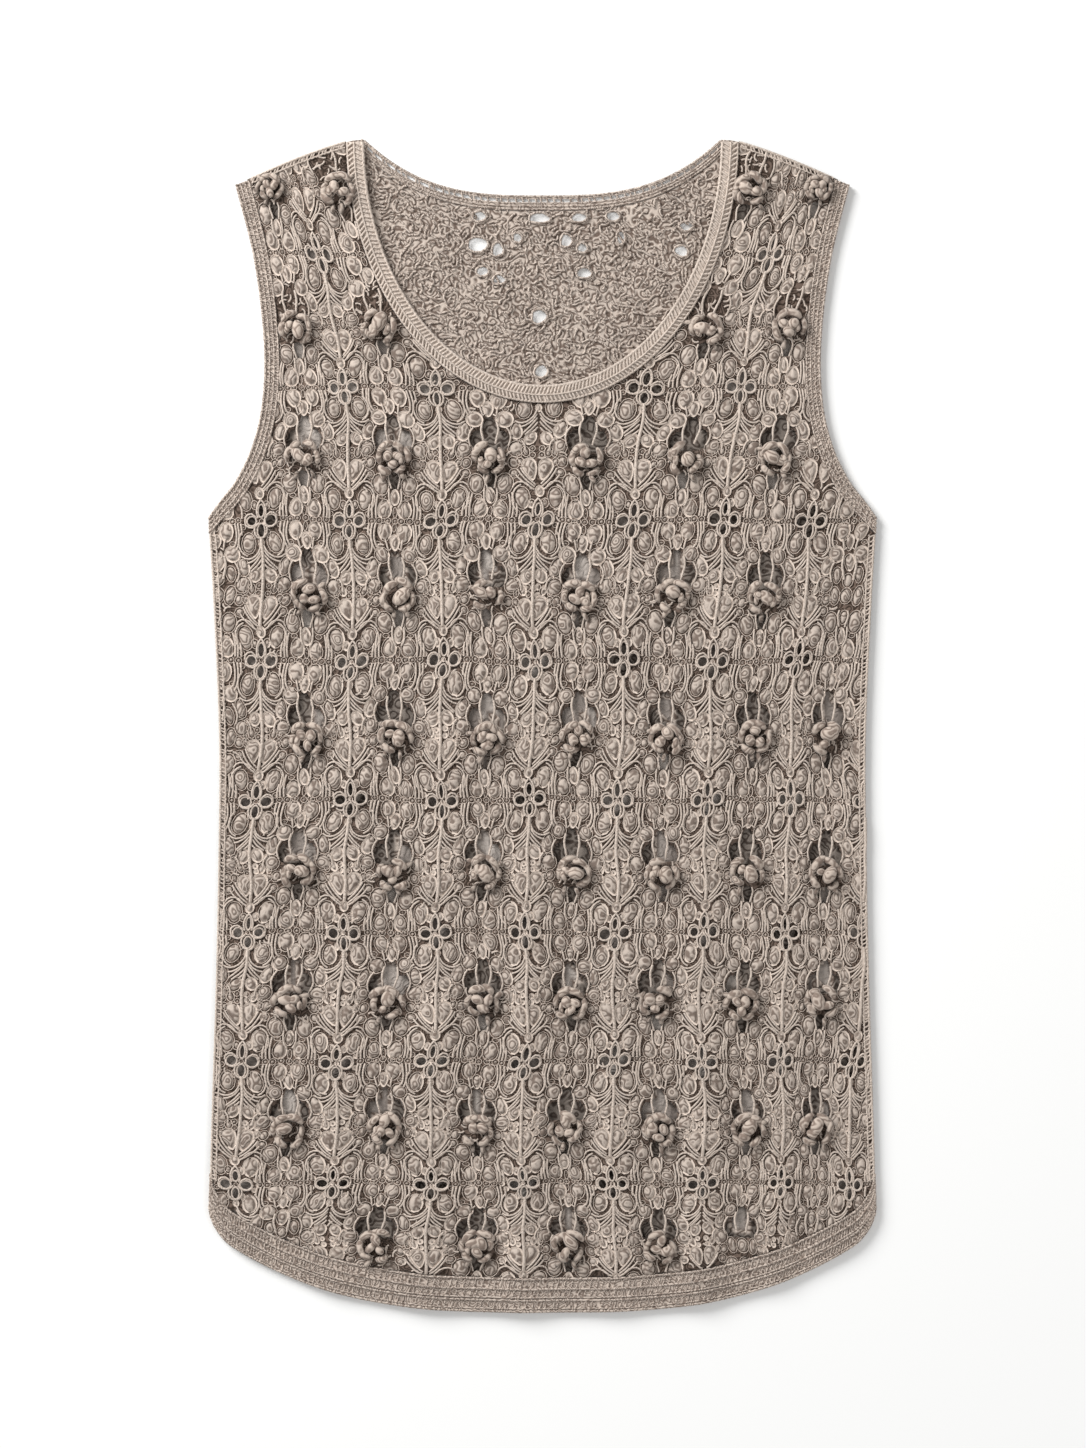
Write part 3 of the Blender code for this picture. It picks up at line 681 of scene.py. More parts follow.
def front_holes(rng):
    """The crown of holes over each flower, the small one under it, and four round holes on each stem."""
    loops = []
    for cell in OPEN_CELLS:
        for half in (CROWN_HOLE, FOOT_HOLE):
            chart = np.concatenate([half, np.array(half[-2:0:-1]) * (-1, 1)])
            loops.append((cell, chart[::-1] * (rng.uniform(0.94, 1.04), 1)))
    for cell in CROSSINGS:
        for x, y, half_width, half_height in ROUND_HOLES:
            grow, tall = rng.uniform(0.8, 1.15), rng.uniform(0.85, 1.1)
            loops.append((cell, ring_points(x, y, half_width * grow, half_height * tall, ROUND_HOLE_CORNERS)))
    loops = [lattice(cell, chart) for cell, chart in loops]
    loops = [loop for loop in loops if moved_by(loop, 1.2 * MM).max() < TINY]
    return [loop if loop_area(loop) > 0 else loop[::-1] for loop in loops]


def back_holes():
    """The gaps that show inside the neck."""
    rng = random.Random(BACK_HOLES_SEED)
    loops = []
    for x, drop, width, height in BACK_HOLES:
        even = ring_points(0, 0, width * MM / 2, height * MM / 2, 10)
        uneven = even * np.array([[rng.uniform(0.92, 1.22)] for _ in even])
        loops.append(uneven + (x * MM, TOP - drop * MM))
    return [loop for loop in loops if moved_by(loop, 0.4 * MM, front=False).max() < TINY]


def scattered(rng, spacing):
    """Plan points over the whole vest, one at about each spacing, none of them in line."""
    found = []
    for x in np.arange(-0.2, 0.2, spacing):
        for drop in np.arange(0.0, LENGTH, spacing):
            x_stray, y_stray = rng.uniform(-0.5, 0.5) * spacing, rng.uniform(-0.5, 0.5) * spacing
            found.append((x + x_stray, TOP - drop + y_stray))
    return np.array(found)


def curl(rng, at, height):
    """A short cord on the front that curls along the slowly turning direction of the work round it."""
    turn = math.tau * noise.noise(Vector((*at, 0)) / CURL_SWIRL) + rng.uniform(-0.7, 0.7)
    bend = rng.choice((-1, 1)) * rng.uniform(0.15, 0.55)
    points = [at]
    for _ in range(rng.randint(3, 4)):
        points.append(points[-1] + CURL_STEP * np.array((math.cos(turn), math.sin(turn))))
        turn += bend
    return on_cloth(np.array(points), front_low, height), CURL_RADIUS, False


def meanders(rng, starts):
    """Long cords side by side on the back, which follow the turning direction of the work and never cross."""
    taken = np.full((1, 2), 10.0)
    routes = []
    for at in starts:
        points = []
        while len(points) < MEANDER_POINTS and np.hypot(*(taken - at).T).min() > MEANDER_SPACING:
            points.append(at)
            turn = sum(share * noise.noise(Vector((*at, 0)) / size) for share, size in MEANDER_SWIRLS)
            at = at + MEANDER_STEP * np.array((math.cos(turn), math.sin(turn)))
        if len(points) > 3:
            points = np.array(points)
            taken = np.vstack([taken, points])
            routes.append((on_cloth(points, back_low, rng.uniform(1.2, 1.9) * MM), MEANDER_RADIUS, False))
    return routes


def hole_edge(hole, low, height, radius):
    """The cord worked round a hole."""
    return on_cloth(hole, low, height), radius, True


# Materials


def add(tree, kind, inputs=(), **settings):
    """Adds a node, with its settings by name and its inputs as values or as sockets to link."""
    node = tree.nodes.new(kind)
    for key, value in settings.items():
        setattr(node, key, value)
    for key, value in dict(inputs).items():
        if isinstance(value, bpy.types.NodeSocket):
            tree.links.new(value, node.inputs[key])
        else:
            node.inputs[key].default_value = value
    return node


def level_ramp(tree, factor, stops):
    """A colour ramp with (position, colour) stops."""
    ramp = add(tree, "ShaderNodeValToRGB", {"Fac": factor})
    elements = ramp.color_ramp.elements
    while len(elements) < len(stops):
        elements.new(0.5)
    for element, (position, colour) in zip(elements, stops):
        element.position = position
        element.color = colour
    return ramp.outputs["Color"]


def math_of(tree, operation, *values):
    return add(tree, "ShaderNodeMath", enumerate(values), operation=operation).outputs[0]


def ranged(tree, value, start, end, low=0.0, high=1.0):
    """Value from start to end, mapped to low to high and held there beyond them."""
    inputs = {"Value": value, "From Min": start, "From Max": end, "To Min": low, "To Max": high}
    return add(tree, "ShaderNodeMapRange", inputs).outputs["Result"]


def noise_of(tree, place, size, detail):
    inputs = {"Vector": place, "Scale": 1 / size, "Detail": detail}
    return add(tree, "ShaderNodeTexNoise", inputs).outputs["Fac"]


def new_material(name, roughness, specular):
    material = bpy.data.materials.new(name)
    material.use_nodes = True
    shader = material.node_tree.nodes["Principled BSDF"]
    shader.inputs["Roughness"].default_value = roughness
    shader.inputs["Specular IOR Level"].default_value = specular
    return material, material.node_tree, shader


def crocheted_cotton(name, light, dark, loop, relief, shading=(), painted_hole_light=None, rim_cord=None):
    """Matt mercerised cotton yarn in curled loops: pale on the crown of each cord, with painted shade between
    them.

    The cords of a real filling are 1 to 1.5 mm apart, which sets the loop. The shading is painted shade by the
    rim number, in pairs of number and share. The hole light is the pair of smooth colours painted on cloth
    under a hole, as painted light falling through it.
    """
    material, tree, shader = new_material(name, 0.88, 0.25)
    place = add(tree, "ShaderNodeTexCoord").outputs["Object"]
    swirl = noise_of(tree, place, 3 * loop, 0.5)
    fibre = noise_of(tree, place, 1.1 * MM, 1.5)
    phase = math_of(tree, "MULTIPLY", swirl, 7.0)
    shade = ranged(tree, noise_of(tree, place, 22 * MM, 3.0), 0.3, 0.7, 0.92, 1.06)
    if shading:
        # Painted shade by the rim number: on a petal's side wall and groove, low down on a flower, and on the
        # back under the front.
        rim = add(tree, "ShaderNodeAttribute", attribute_name="rim").outputs["Fac"]
        largest = shading[-1][0]
        wander = math_of(tree, "MULTIPLY_ADD", fibre, 0.07 * largest, rim)
        depth = math_of(tree, "MULTIPLY", wander, 1 / largest)
        levels = level_ramp(tree, depth, [(at / largest, (share, share, share, 1)) for at, share in shading])
        shade = math_of(tree, "MULTIPLY", shade, levels)
        phase = math_of(tree, "MULTIPLY_ADD", rim, 1 / 3.2, math_of(tree, "MULTIPLY", swirl, 4.4))
    wave = math_of(tree, "SINE", math_of(tree, "MULTIPLY", phase, math.tau))
    height = math_of(tree, "MULTIPLY_ADD", wave, 0.42, 0.5)
    if rim_cord:
        inner = ranged(tree, rim, *rim_cord)
        height = math_of(tree, "MULTIPLY_ADD", inner, math_of(tree, "SUBTRACT", height, 0.85), 0.85)
    tone = math_of(tree, "MULTIPLY_ADD", math_of(tree, "SUBTRACT", fibre, 0.5), 0.22, height)
    # Painted shade: the hollows between the loops take the darker colour.
    colour = level_ramp(tree, tone, [(0.12, dark), (0.7, light)])
    colour = add(tree, "ShaderNodeVectorMath", {0: colour, 1: shade}, operation="MULTIPLY").outputs["Vector"]
    # Painted light: smooth colours where light falls through a hole of the front onto the back.
    if painted_hole_light:
        low, high = OPEN_TO_LIGHT
        painted_light_colour = level_ramp(tree, rim, [(low, painted_hole_light[0]), (high, painted_hole_light[1])])
        painted_light_share = ranged(tree, rim, low - 0.15, low - 0.05)
        inputs = {"Factor": painted_light_share, 6: colour, 7: painted_light_colour}
        colour = add(tree, "ShaderNodeMix", inputs, data_type="RGBA").outputs[2]
    bump = add(tree, "ShaderNodeBump", {"Height": tone, "Distance": relief, "Strength": 0.8})
    tree.links.new(colour, shader.inputs["Base Color"])
    tree.links.new(bump.outputs["Normal"], shader.inputs["Normal"])
    shader.inputs["Sheen Weight"].default_value = 0.15
    shader.inputs["Sheen Roughness"].default_value = 0.5
    return material


def studio_paper(name, colour):
    """Matt white paper, which gives a clean pale ground and soft bounce."""
    material, _, shader = new_material(name, 0.95, 0.1)
    shader.inputs["Base Color"].default_value = colour
    return material


# Smooth colours painted on the back under holes of the front, as light falling through them.
HOLE_LIGHT_COLOURS = (linear("857B74"), linear("B9B0A8"))

# Columns: colours of the crown and of the hollow, the hollow being painted shade, loop and relief in
# millimetres, what else the yarn takes.
YARNS = {
    "crocheted_petal_cotton": ("light", "hollow", 1.9, 0.5, {"shading": PETAL_PAINTED_SHADE, "rim_cord": RIM_CORD}),
    "twisted_cord_cotton": ("pale", "bobble", 1.9, 0.25, {}),
    "front_ground_cotton": ("dark", "deep", 1.7, 0.6, {}),
    "back_ground_cotton": ("light", "dark", 1.8, 0.6, {"shading": BACK_PAINTED_SHADE, "painted_hole_light": HOLE_LIGHT_COLOURS}),
    "band_ground_cotton": ("middle", "dark", 1.5, 0.5, {}),
    "bobble_cotton": ("bobble", "hollow", 2.0, 0.3, {"shading": BOBBLE_PAINTED_SHADE}),
    "matt_cord_cotton": ("light", "hollow", 1.5, 0.3, {}),
}


def yarn(context, kind):
    """The named cotton of the vest, made once."""
    if kind not in bpy.data.materials:
        crown, hollow, loop, relief, more = YARNS[kind]
        light, dark = (getattr(context.scene.lace_vest, name) for name in (crown, hollow))
        crocheted_cotton(kind, light, dark, loop * MM, relief * MM, **more)
    return bpy.data.materials[kind]


# Properties


def yarn_colour(name, description, hex_colour):
    colour = linear(hex_colour)
    return FloatVectorProperty(name=name, description=description, subtype="COLOR", size=4, default=colour)


# One cotton in lit and shaded copies: pale, light and bobble are its crowns; middle is painted shade on the
# sides of the cords; hollow, dark and deep are painted shade between loops, between stitches and on the ground
# far down between petals.
class LaceVestProperties(bpy.types.PropertyGroup):
    pale: yarn_colour("Pale yarn", "Crowns of the cords", "C9BBAF")
    light: yarn_colour("Light yarn", "Crowns of the stitches", "C5B7AB")
    bobble: yarn_colour("Bobble yarn", "Crowns of the flowers", "B4A69A")
    middle: yarn_colour("Middle yarn", "Sides of the cords", "9A8B80")
    hollow: yarn_colour("Hollow yarn", "Between the loops of a filling", "7D6E64")
    dark: yarn_colour("Dark yarn", "Between the stitches", "6A5A50")
    deep: yarn_colour("Deep yarn", "Ground far down between petals", "35291F")
    cord: FloatProperty(
        name="Cord", description="Share of the charted cord thickness", default=1.0, min=0.5, max=1.5
    )
    ground: FloatProperty(
        name="Ground", description="Thickness of the ground of the lace", default=0.7 * MM, unit="LENGTH"
    )
    relief: FloatProperty(
        name="Petal relief", description="How high a petal's cord stands, in millimetres", default=1.6
    )
    flower_radius: FloatProperty(
        name="Flower radius", description="Half the width of a flower", default=10.8 * MM, unit="LENGTH"
    )
    seed: IntProperty(name="Seed", description="Which handwork is shown", default=7)


# Pieces


class LACEVEST_OT_back(bpy.types.Operator):
    """Crochets the back: a sheet with gaps, under a net of short curling cords"""

    bl_idname = "lace_vest.back"
    bl_label = "Back"

    def execute(self, context):
        rng = random.Random(context.scene.lace_vest.seed)
        holes = back_holes()
        outline = panel_outline(False)
        cotton = yarn(context, "back_ground_cotton")
        ground = lace_sheet("back_ground", outline, holes, back_low, 5 * MM, 1.1 * MM, cotton)
        self.shade(ground.data, rng)
        routes = self.curls(rng, holes) + [hole_edge(hole, back_low, 2.4 * MM, 0.75 * MM) for hole in holes]
        net = new_object("back_net", cord_mesh("back_net", routes), yarn(context, "matt_cord_cotton"))
        finish_piece(ground, "lace", "back_panel")
        finish_piece(net, "lace")
        return {"FINISHED"}

    def shade(self, mesh, rng):
        """The back is pale inside the neck and has deep painted shade under the front, with patches under its
        holes painted as light falling through them.
        """
        points = np.array([v.co for v in mesh.vertices])
        shades = np.where(neck_share(points) < NECK_LIGHT_REACH, IN_NECK, IN_SHADE)
        for cells, patches in ((OPEN_CELLS, FLOWER_PATCHES), (CROSSINGS, STEM_PATCHES)):
            for cell in cells:
                for x, y, half_width, half_height, chance in patches:
                    if rng.random() < chance:
                        from_middle = (points[:, :2] - lattice(cell, [(x, y)])) / MM
                        lit = np.hypot(*(from_middle / (half_width, half_height)).T) < 1
                        shades[lit] = rng.uniform(*OPEN_TO_LIGHT)
        set_rim(mesh, shades)

    def curls(self, rng, holes):
        """Curling cords, laid close inside the neck, where the back shows. Some cross a gap."""
        starts = scattered(rng, 1.4 * MM)
        starts = starts[(neck_share(starts, 2 * MM) < 1) & (moved_by(starts, front=False) < TINY)]
        starts = starts[far_from(starts, holes, 0, np.mean)]
        order = list(range(len(starts)))
        rng.shuffle(order)
        kept = []
        for points, radius, closed in meanders(rng, starts[order]):
            inside = moved_by(points, front=False) < 0.5 * MM
            clear = far_from(points[:, :2], holes, -0.3 * MM, np.mean) | (rng.random() < CROSSING_CHANCE)
            points = points[: int(np.argmin(np.append(inside & clear, False)))]
            if len(points) > 2:
                kept.append((points, radius, closed))
        return kept


class LACEVEST_OT_front(bpy.types.Operator):
    """Crochets the front: a ground with holes, filled petals with corded rims, and cords between them"""

    bl_idname = "lace_vest.front"
    bl_label = "Front"

    def execute(self, context):
        values = context.scene.lace_vest
        rng = random.Random(values.seed + 1)
        holes = front_holes(rng)
        outline = panel_outline(True)
        # The ground sheet is coloured dark and deep as painted shade in the slits between the petals.
        cotton = yarn(context, "front_ground_cotton")
        ground = lace_sheet("front_ground", outline, holes, front_low, 6 * MM, values.ground, cotton)
        finish_piece(ground, "lace", "front_panel")
        flower_side = laid_petals(FLOWER_COLUMN_PETALS, CELLS, values, rng)
        stem_side = laid_petals(STEM_PETALS, STEMS, values, rng)
        plain_cells = [cell for cell in CELLS if cell not in OPEN_CELLS]
        flower_side += laid_petals(FILLER_PETALS, plain_cells, values, rng)
        lower_half = [chart for chart in FILLER_PETALS if chart[1] < 0]
        flower_side += laid_petals(lower_half, [BARE_CELL], values, rng)
        rings = []
        for over_stem, cells in enumerate((CELLS, STEMS)):
            chart = [(x, y, size, size, 0, 0, 0.9) for stem, x, y, size in CHAIN_RINGS if stem == over_stem]
            rings += laid_petals(chart, cells, values, rng)
        petal_yarn = yarn(context, "crocheted_petal_cotton")
        pieces = [
            joined("front_flower_petals", flower_side, petal_yarn),
            joined("front_stem_petals", stem_side, petal_yarn),
            joined("front_chain_rings", rings, petal_yarn),
        ]
        routes = self.cord_routes(values, rng)
        curls = self.curls_between(flower_side + stem_side + rings, holes, routes, values, rng)
        round_holes = [hole for hole in holes if len(hole) == ROUND_HOLE_CORNERS]
        routes += [hole_edge(hole, front_low, values.ground + 0.5 * MM, 0.6 * MM) for hole in round_holes]
        for name, cords in (("front_cords", routes), ("front_curls", curls)):
            pieces.append(new_object(name, cord_mesh(name, cords), yarn(context, "twisted_cord_cotton")))
        for piece in pieces:
            finish_piece(piece, "lace")
        return {"FINISHED"}

    def curls_between(self, petals, holes, cords, values, rng):
        """Short curling cords over the ground wherever no petal, cord or hole is."""
        starts = scattered(rng, 3.8 * MM)
        starts = starts[moved_by(starts, 0.8 * MM) < TINY]
        starts = starts[far_from(starts, [points[:, :2] for points, _, _ in petals] + holes, 0.4 * MM)]
        along = np.vstack([points for points, _, _ in cords])
        tree = KDTree(len(along))
        for i, (x, y, _) in enumerate(along):
            tree.insert((x, y, 0), i)
        tree.balance()
        routes = []
        for at in starts:
            if tree.find((*at, 0))[2] >= 1.4 * MM:
                route = curl(rng, at, values.ground + rng.uniform(0.3, 0.9) * MM)
                if moved_by(route[0]).max() < TINY:
                    routes.append(route)
        return routes

    def cord_routes(self, values, rng):
        """The charted cords of every cell, whose ends sink into the work."""
        routes = []
        for stem, thickness, chart in CORDS:
            along_stem = stem and all(abs(x) < 0.5 for x, _ in chart)
            for side in (1,) if along_stem else (1, -1):
                points = eased([(side * x, y) for x, y in chart], 2.4)
                for column, row in CELLS:
                    stray = (rng.uniform(-0.3, 0.3), rng.uniform(-0.3, 0.3))
                    plan = lattice((column + stem / 2, row), points + stray)
                    if moved_by(plan).max() <= 0.8 * MM:
                        height = np.full(len(plan), values.ground + 0.6 * values.relief * MM)
                        height[[0, -1]] -= 0.6 * MM
                        route = on_cloth(kept_in(plan, 0.4 * MM), front_low, height)
                        routes.append((route, thickness / 2 * MM * values.cord, False))
        return routes


class LACEVEST_OT_flowers(bpy.types.Operator):
    """Makes the raised flowers: curled petals round a few balls, no two alike"""

    bl_idname = "lace_vest.flowers"
    bl_label = "Flowers"

    def execute(self, context):
        values = context.scene.lace_vest
        rng = random.Random(values.seed + 2)
        routes = []
        balls = bmesh.new()
        for cell in FLOWERS:
            centre = on_cloth(lattice(cell, [(0, -FLOWER_BELOW_CENTRE)]), front_low, values.ground)[0]
            self.flower(rng, centre, values.flower_radius, routes, balls)
        mesh = cord_mesh("front_flowers", routes, sides=8)
        balls.from_mesh(mesh)
        balls.to_mesh(mesh)
        balls.free()
        mesh.shade_smooth()
        # The height over the ground is kept as the rim number, which paints shade low down on the flower and
        # light on its tops.
        points = np.array([v.co for v in mesh.vertices])
        heights = (points[:, 2] - front_low(points[:, 0], points[:, 1]) - values.ground) / MM
        set_rim(mesh, np.maximum(heights, 0))
        finish_piece(new_object("front_flowers", mesh, yarn(context, "bobble_cotton")), "lace")
        return {"FINISHED"}

    def flower(self, rng, centre, radius, routes, balls):
        scale = radius / FLOWER_CHART_RADIUS
        if abs(centre[0]) > 140 * MM and TOP - centre[1] < 60 * MM:
            scale *= SHOULDER_FLOWER
        for side in (1, -1):
            for _, chance, place, distance, slant, length, thickness, bend, lift in FLOWER_SIDE_PETALS:
                if rng.random() < chance:
                    round_it = math.radians(place + rng.uniform(-14, 14))
                    away = distance + rng.uniform(-0.8, 0.8)
                    at = (away * math.sin(round_it), away * math.cos(round_it), lift + rng.uniform(-0.8, 0.8))
                    turn = math.radians(slant + rng.uniform(-18, 18)) - round_it
                    size = (length * rng.uniform(0.8, 1.15), thickness * rng.uniform(0.88, 1.12), bend)
                    routes.append(self.curled_petal(centre, scale, side, at, turn, size))
        for x, y, size, chance in rng.choice(FLOWER_BALLS):
            if rng.random() < chance:
                at = np.array((x + rng.uniform(-0.6, 0.6), y + rng.uniform(-0.6, 0.6), rng.uniform(4.3, 5.4)))
                self.ball(balls, rng, centre + at * scale, size * rng.uniform(0.9, 1.1) * scale)

    def curled_petal(self, centre, scale, side, at, turn, size):
        """A petal like a stuffed tube that arches up and bends round the middle of the flower."""
        length, thickness, bend = size
        share = np.linspace(-1, 1, 7)
        along, across = share * length / 2, -bend * share**2
        x = at[0] + along * math.cos(turn) - across * math.sin(turn)
        y = at[1] + along * math.sin(turn) + across * math.cos(turn)
        z = at[2] + 1.3 * (1 - share**2) - 0.6
        radii = thickness * scale * np.sqrt(np.maximum(1 - 0.72 * share**4, 0.1))
        return centre + np.stack([side * x, y, z], axis=1) * scale, radii, False

    def ball(self, balls, rng, at, size):
        """A stuffed ball or oval bobble."""
        stretch = Vector((rng.uniform(0.78, 0.95), rng.uniform(1.0, 1.4), rng.uniform(0.75, 0.9)))
        turn = Matrix.Rotation(rng.uniform(0, math.pi), 4, "Z")
        matrix = Matrix.Translation(at) @ turn @ Matrix.Diagonal((*(stretch * size), 1))
        bmesh.ops.create_icosphere(balls, subdivisions=3, radius=1.0, matrix=matrix)


# Bands. Each place runs from s = 0 to 1 along a band and from t = 0 at its edge to 1 at the lace.


def neck_binding_at(s, t):
    return front_neck(math.pi * (0.004 + 0.992 * s), t * NECK_BINDING)


def back_neck_at(s, t):
    x = NECK_HALF * (2 * s - 1)
    return x, TOP - back_neck_drop(x) - t * BACK_NECK_BAND


def hem_at(s, t):
    across = np.sin(math.pi / 2 * (2 * s - 1))
    x = HEM_HALF * across
    drop = hem_drop(x)
    inner_x = side_half(drop - HEM_BAND) * across
    return x + (inner_x - x) * t, TOP - drop + HEM_BAND * t


def armhole_at(s, t):
    """The right armhole band, from the shoulder tip to the underarm."""
    drop = SHOULDER_TIP_DROP + (UNDERARM_DROP - SHOULDER_TIP_DROP) * s
    slope = (armhole_half(drop + MM) - armhole_half(drop - MM)) / (2 * MM)
    inward = np.array((-np.ones_like(slope), -slope)) / np.hypot(slope, 1)
    shoulder = np.array((SHOULDER_NECK_HALF - SHOULDER_TIP_HALF, SHOULDER_TIP_DROP))
    ends = (1 - s / 0.06, shoulder / np.hypot(*shoulder)), ((s - 0.94) / 0.06, np.array((-0.02, -1.05)))
    for share, direction in ends:
        inward = inward + (direction[:, None] - inward) * np.clip(share, 0, 1)
    return armhole_half(drop) + inward[0] * t * ARMHOLE_BAND, TOP - drop + inward[1] * t * ARMHOLE_BAND


def side_at(s, t):
    """The right side seam, from the underarm to the hem band."""
    first, last = UNDERARM_DROP + ARMHOLE_BAND + 1 * MM, LENGTH - HEM_RISE - HEM_BAND - 14 * MM
    drop = first + (last - first) * s
    return side_half(drop) - (0.6 + 3 * t) * MM, TOP - drop


def shoulder_at(s, t):
    """The right shoulder seam, from the neck binding to the armhole band."""
    first, last = NECK_HALF + NECK_BINDING + 1 * MM, SHOULDER_TIP_HALF - ARMHOLE_BAND - 1 * MM
    x = first + (last - first) * s
    return x, TOP - shoulder_drop(x) - (0.6 + 3 * t) * MM


def mirrored(place):
    def on_the_left(s, t):
        x, y = place(s, t)
        return -x, y

    return on_the_left


def rounded(t):
    """Height of the doubled neck binding across its width."""
    return 2.4 * np.sqrt(np.clip(1 - (1.7 * t - 0.75) ** 2, 0.1, 1))


def band_strip(place, low, along, across, top, thickness, first):
    """A closed strip of knitting along a band."""
    bm = bmesh.new()
    bmesh.ops.create_grid(bm, x_segments=along, y_segments=across, size=0.5)
    coords = np.array([v.co for v in bm.verts])
    t = first + (1 - first) * (coords[:, 1] + 0.5)
    height = (top(t) if callable(top) else top) * MM
    for vert, at in zip(bm.verts, on_cloth(np.column_stack(place(coords[:, 0] + 0.5, t)), low, height)):
        vert.co = at
    bmesh.ops.recalc_face_normals(bm, faces=bm.faces)
    if sum(f.normal.z for f in bm.faces) < 0:
        bmesh.ops.reverse_faces(bm, faces=bm.faces)
    bmesh.ops.solidify(bm, geom=bm.faces, thickness=thickness * MM)
    for face in bm.faces:
        face.material_index = 1
    return bm


def band_routes(place, low, rng, kind, stitched=True):
    """Cords that run along a band and swell at each stitch, with short stitches across it."""
    pitch, step, cords, stitches = BAND_WORK[kind]
    edge = np.column_stack(place(np.linspace(0, 1, 200), np.zeros(200)))
    length = float(np.hypot(*np.diff(edge, axis=0).T).sum()) / MM
    s = np.linspace(0, 1, max(2, round(length / step)))
    swell = np.cos(s * length / pitch * math.tau)
    routes = []
    for t, height, radius, wander in cords:
        points = np.column_stack(place(s, t + wander * swell))
        routes.append((on_cloth(points, low, height * MM), radius * MM * (1 + 0.18 * swell), False))
    for first, last, apart, height, radius, lean, uneven in stitches if stitched else ():
        count = round(length / apart)
        for k in range(count):
            at = (k + 0.5 + rng.uniform(-uneven, uneven)) / count
            across = np.clip(at + lean * apart / length * np.array((-0.5, 0, 0.5)), 0, 1)
            points = np.column_stack(place(across, np.array((first, (first + last) / 2, last))))
            heights = (height + np.array((-0.3, 0.1, -0.3))) * MM
            routes.append((on_cloth(points, low, heights), radius * MM, False))
    return routes


def worked_band(context, name, node, place, low, rng, kind, stitched=True, cord="matt_cord_cotton"):
    """A band of pale cords over its darker strip, as one piece."""
    mesh = cord_mesh(name, band_routes(place, low, rng, kind, stitched))
    strip = band_strip(place, low, *BAND_STRIPS[kind])
    strip.from_mesh(mesh)
    strip.to_mesh(mesh)
    strip.free()
    mesh.shade_smooth()
    band = new_object(name, mesh, yarn(context, cord), yarn(context, "band_ground_cotton"))
    finish_piece(band, "edging", node)


# Strips. Columns: faces along, faces across, top, thickness, share of the width left open. Millimetres.
BAND_STRIPS = {
    "neck": (160, 6, rounded, 1.0, 0.0),
    "back neck": (120, 4, 1.5, 1.2, 0.52),
    "armhole": (110, 4, 1.1, 0.9, 0.0),
    "hem": (170, 6, 0.9, 0.8, 0.0),
}

# Work on each band: pitch of the swelling, step between points of its cords, cords, stitches. Columns of its
# cords: place across it, height, radius, wander. Columns of its stitches: first and last place across it,
# distance apart, height, radius, lean, unevenness. Millimetres, or shares of the width or distance apart.
BAND_WORK = {
    "neck": (
        2.7,
        0.9,
        ((0.07, 2.2, 1.0, 0), (0.56, 3.0, 0.6, 0), (0.95, 2.2, 0.7, 0)),
        ((0.08, 0.54, 2.5, 2.7, 0.7, 0.9, 0.15), (0.58, 0.94, 2.5, 2.7, 0.7, -0.8, 0.15)),
    ),
    "back neck": (
        2.4,
        1.0,
        (
            *((0.07, 1.1, 0.75, 0), (0.2, 1.3, 0.4, 0), (0.52, 1.5, 0.6, 0)),
            *((0.72, 1.8, 0.55, 0), (0.92, 1.6, 0.55, 0)),
        ),
        ((0.05, 0.55, 4.4, 1.3, 0.55, 0.3, 0.3),),
    ),
    "armhole": (
        2.6,
        1.0,
        ((0.09, 1.5, 0.8, 0), (0.38, 1.5, 0.55, 0), (0.67, 1.5, 0.55, 0), (0.95, 1.5, 0.6, 0)),
        [(*ends, 2.6, 1.4, 0.5, 0.5, 0.25) for ends in ((0.1, 0.38), (0.38, 0.66), (0.66, 0.96))],
    ),
    "seam": (2.6, 1.0, ((0, 1.5, 0.75, 0.08), (1, 1.5, 0.55, 0.08)), ((0, 1, 2.6, 1.5, 0.5, 0.5, 0.25),)),
    "hem": (
        3.0,
        1.1,
        (
            *((0.045, 1.2, 0.85, 0.015), (0.12, 1.3, 0.55, 0.01), (0.36, 1.6, 0.7, 0.005)),
            *((0.44, 1.6, 0.6, 0.005), (0.68, 1.6, 0.7, 0.005), (0.97, 1.5, 0.7, 0.01)),
        ),
        [(*ends, 2.7, 1.2, 0.55, 0.4, 0.25) for ends in ((0.1, 0.36), (0.43, 0.68), (0.69, 0.97))],
    ),
}
LAYERS = (("front", front_low), ("back", back_low))


class LACEVEST_OT_neck(bpy.types.Operator):
    """Works the ribbed binding of the front neck and the eyelet band of the back neck"""

    bl_idname = "lace_vest.neck"
    bl_label = "Neck"

    def execute(self, context):
        rng = random.Random(context.scene.lace_vest.seed + 3)
        node = "neck_binding_front"
        cord = "twisted_cord_cotton"
        worked_band(context, "neck_binding", node, neck_binding_at, front_low, rng, "neck", cord=cord)
        worked_band(context, "back_neck_band", "neck_band_back", back_neck_at, back_low, rng, "back neck")
        return {"FINISHED"}


class LACEVEST_OT_armholes(bpy.types.Operator):
    """Works the chained bands of both armholes, front and back"""

    bl_idname = "lace_vest.armholes"
    bl_label = "Armholes"

    def execute(self, context):
        rng = random.Random(context.scene.lace_vest.seed + 4)
        for side, place in (("right", armhole_at), ("left", mirrored(armhole_at))):
            for layer, low in LAYERS:
                name, node = f"armhole_{layer}_{side}", f"armhole_band_{layer}_{side}"
                worked_band(context, name, node, place, low, rng, "armhole", layer == "front")
        return {"FINISHED"}


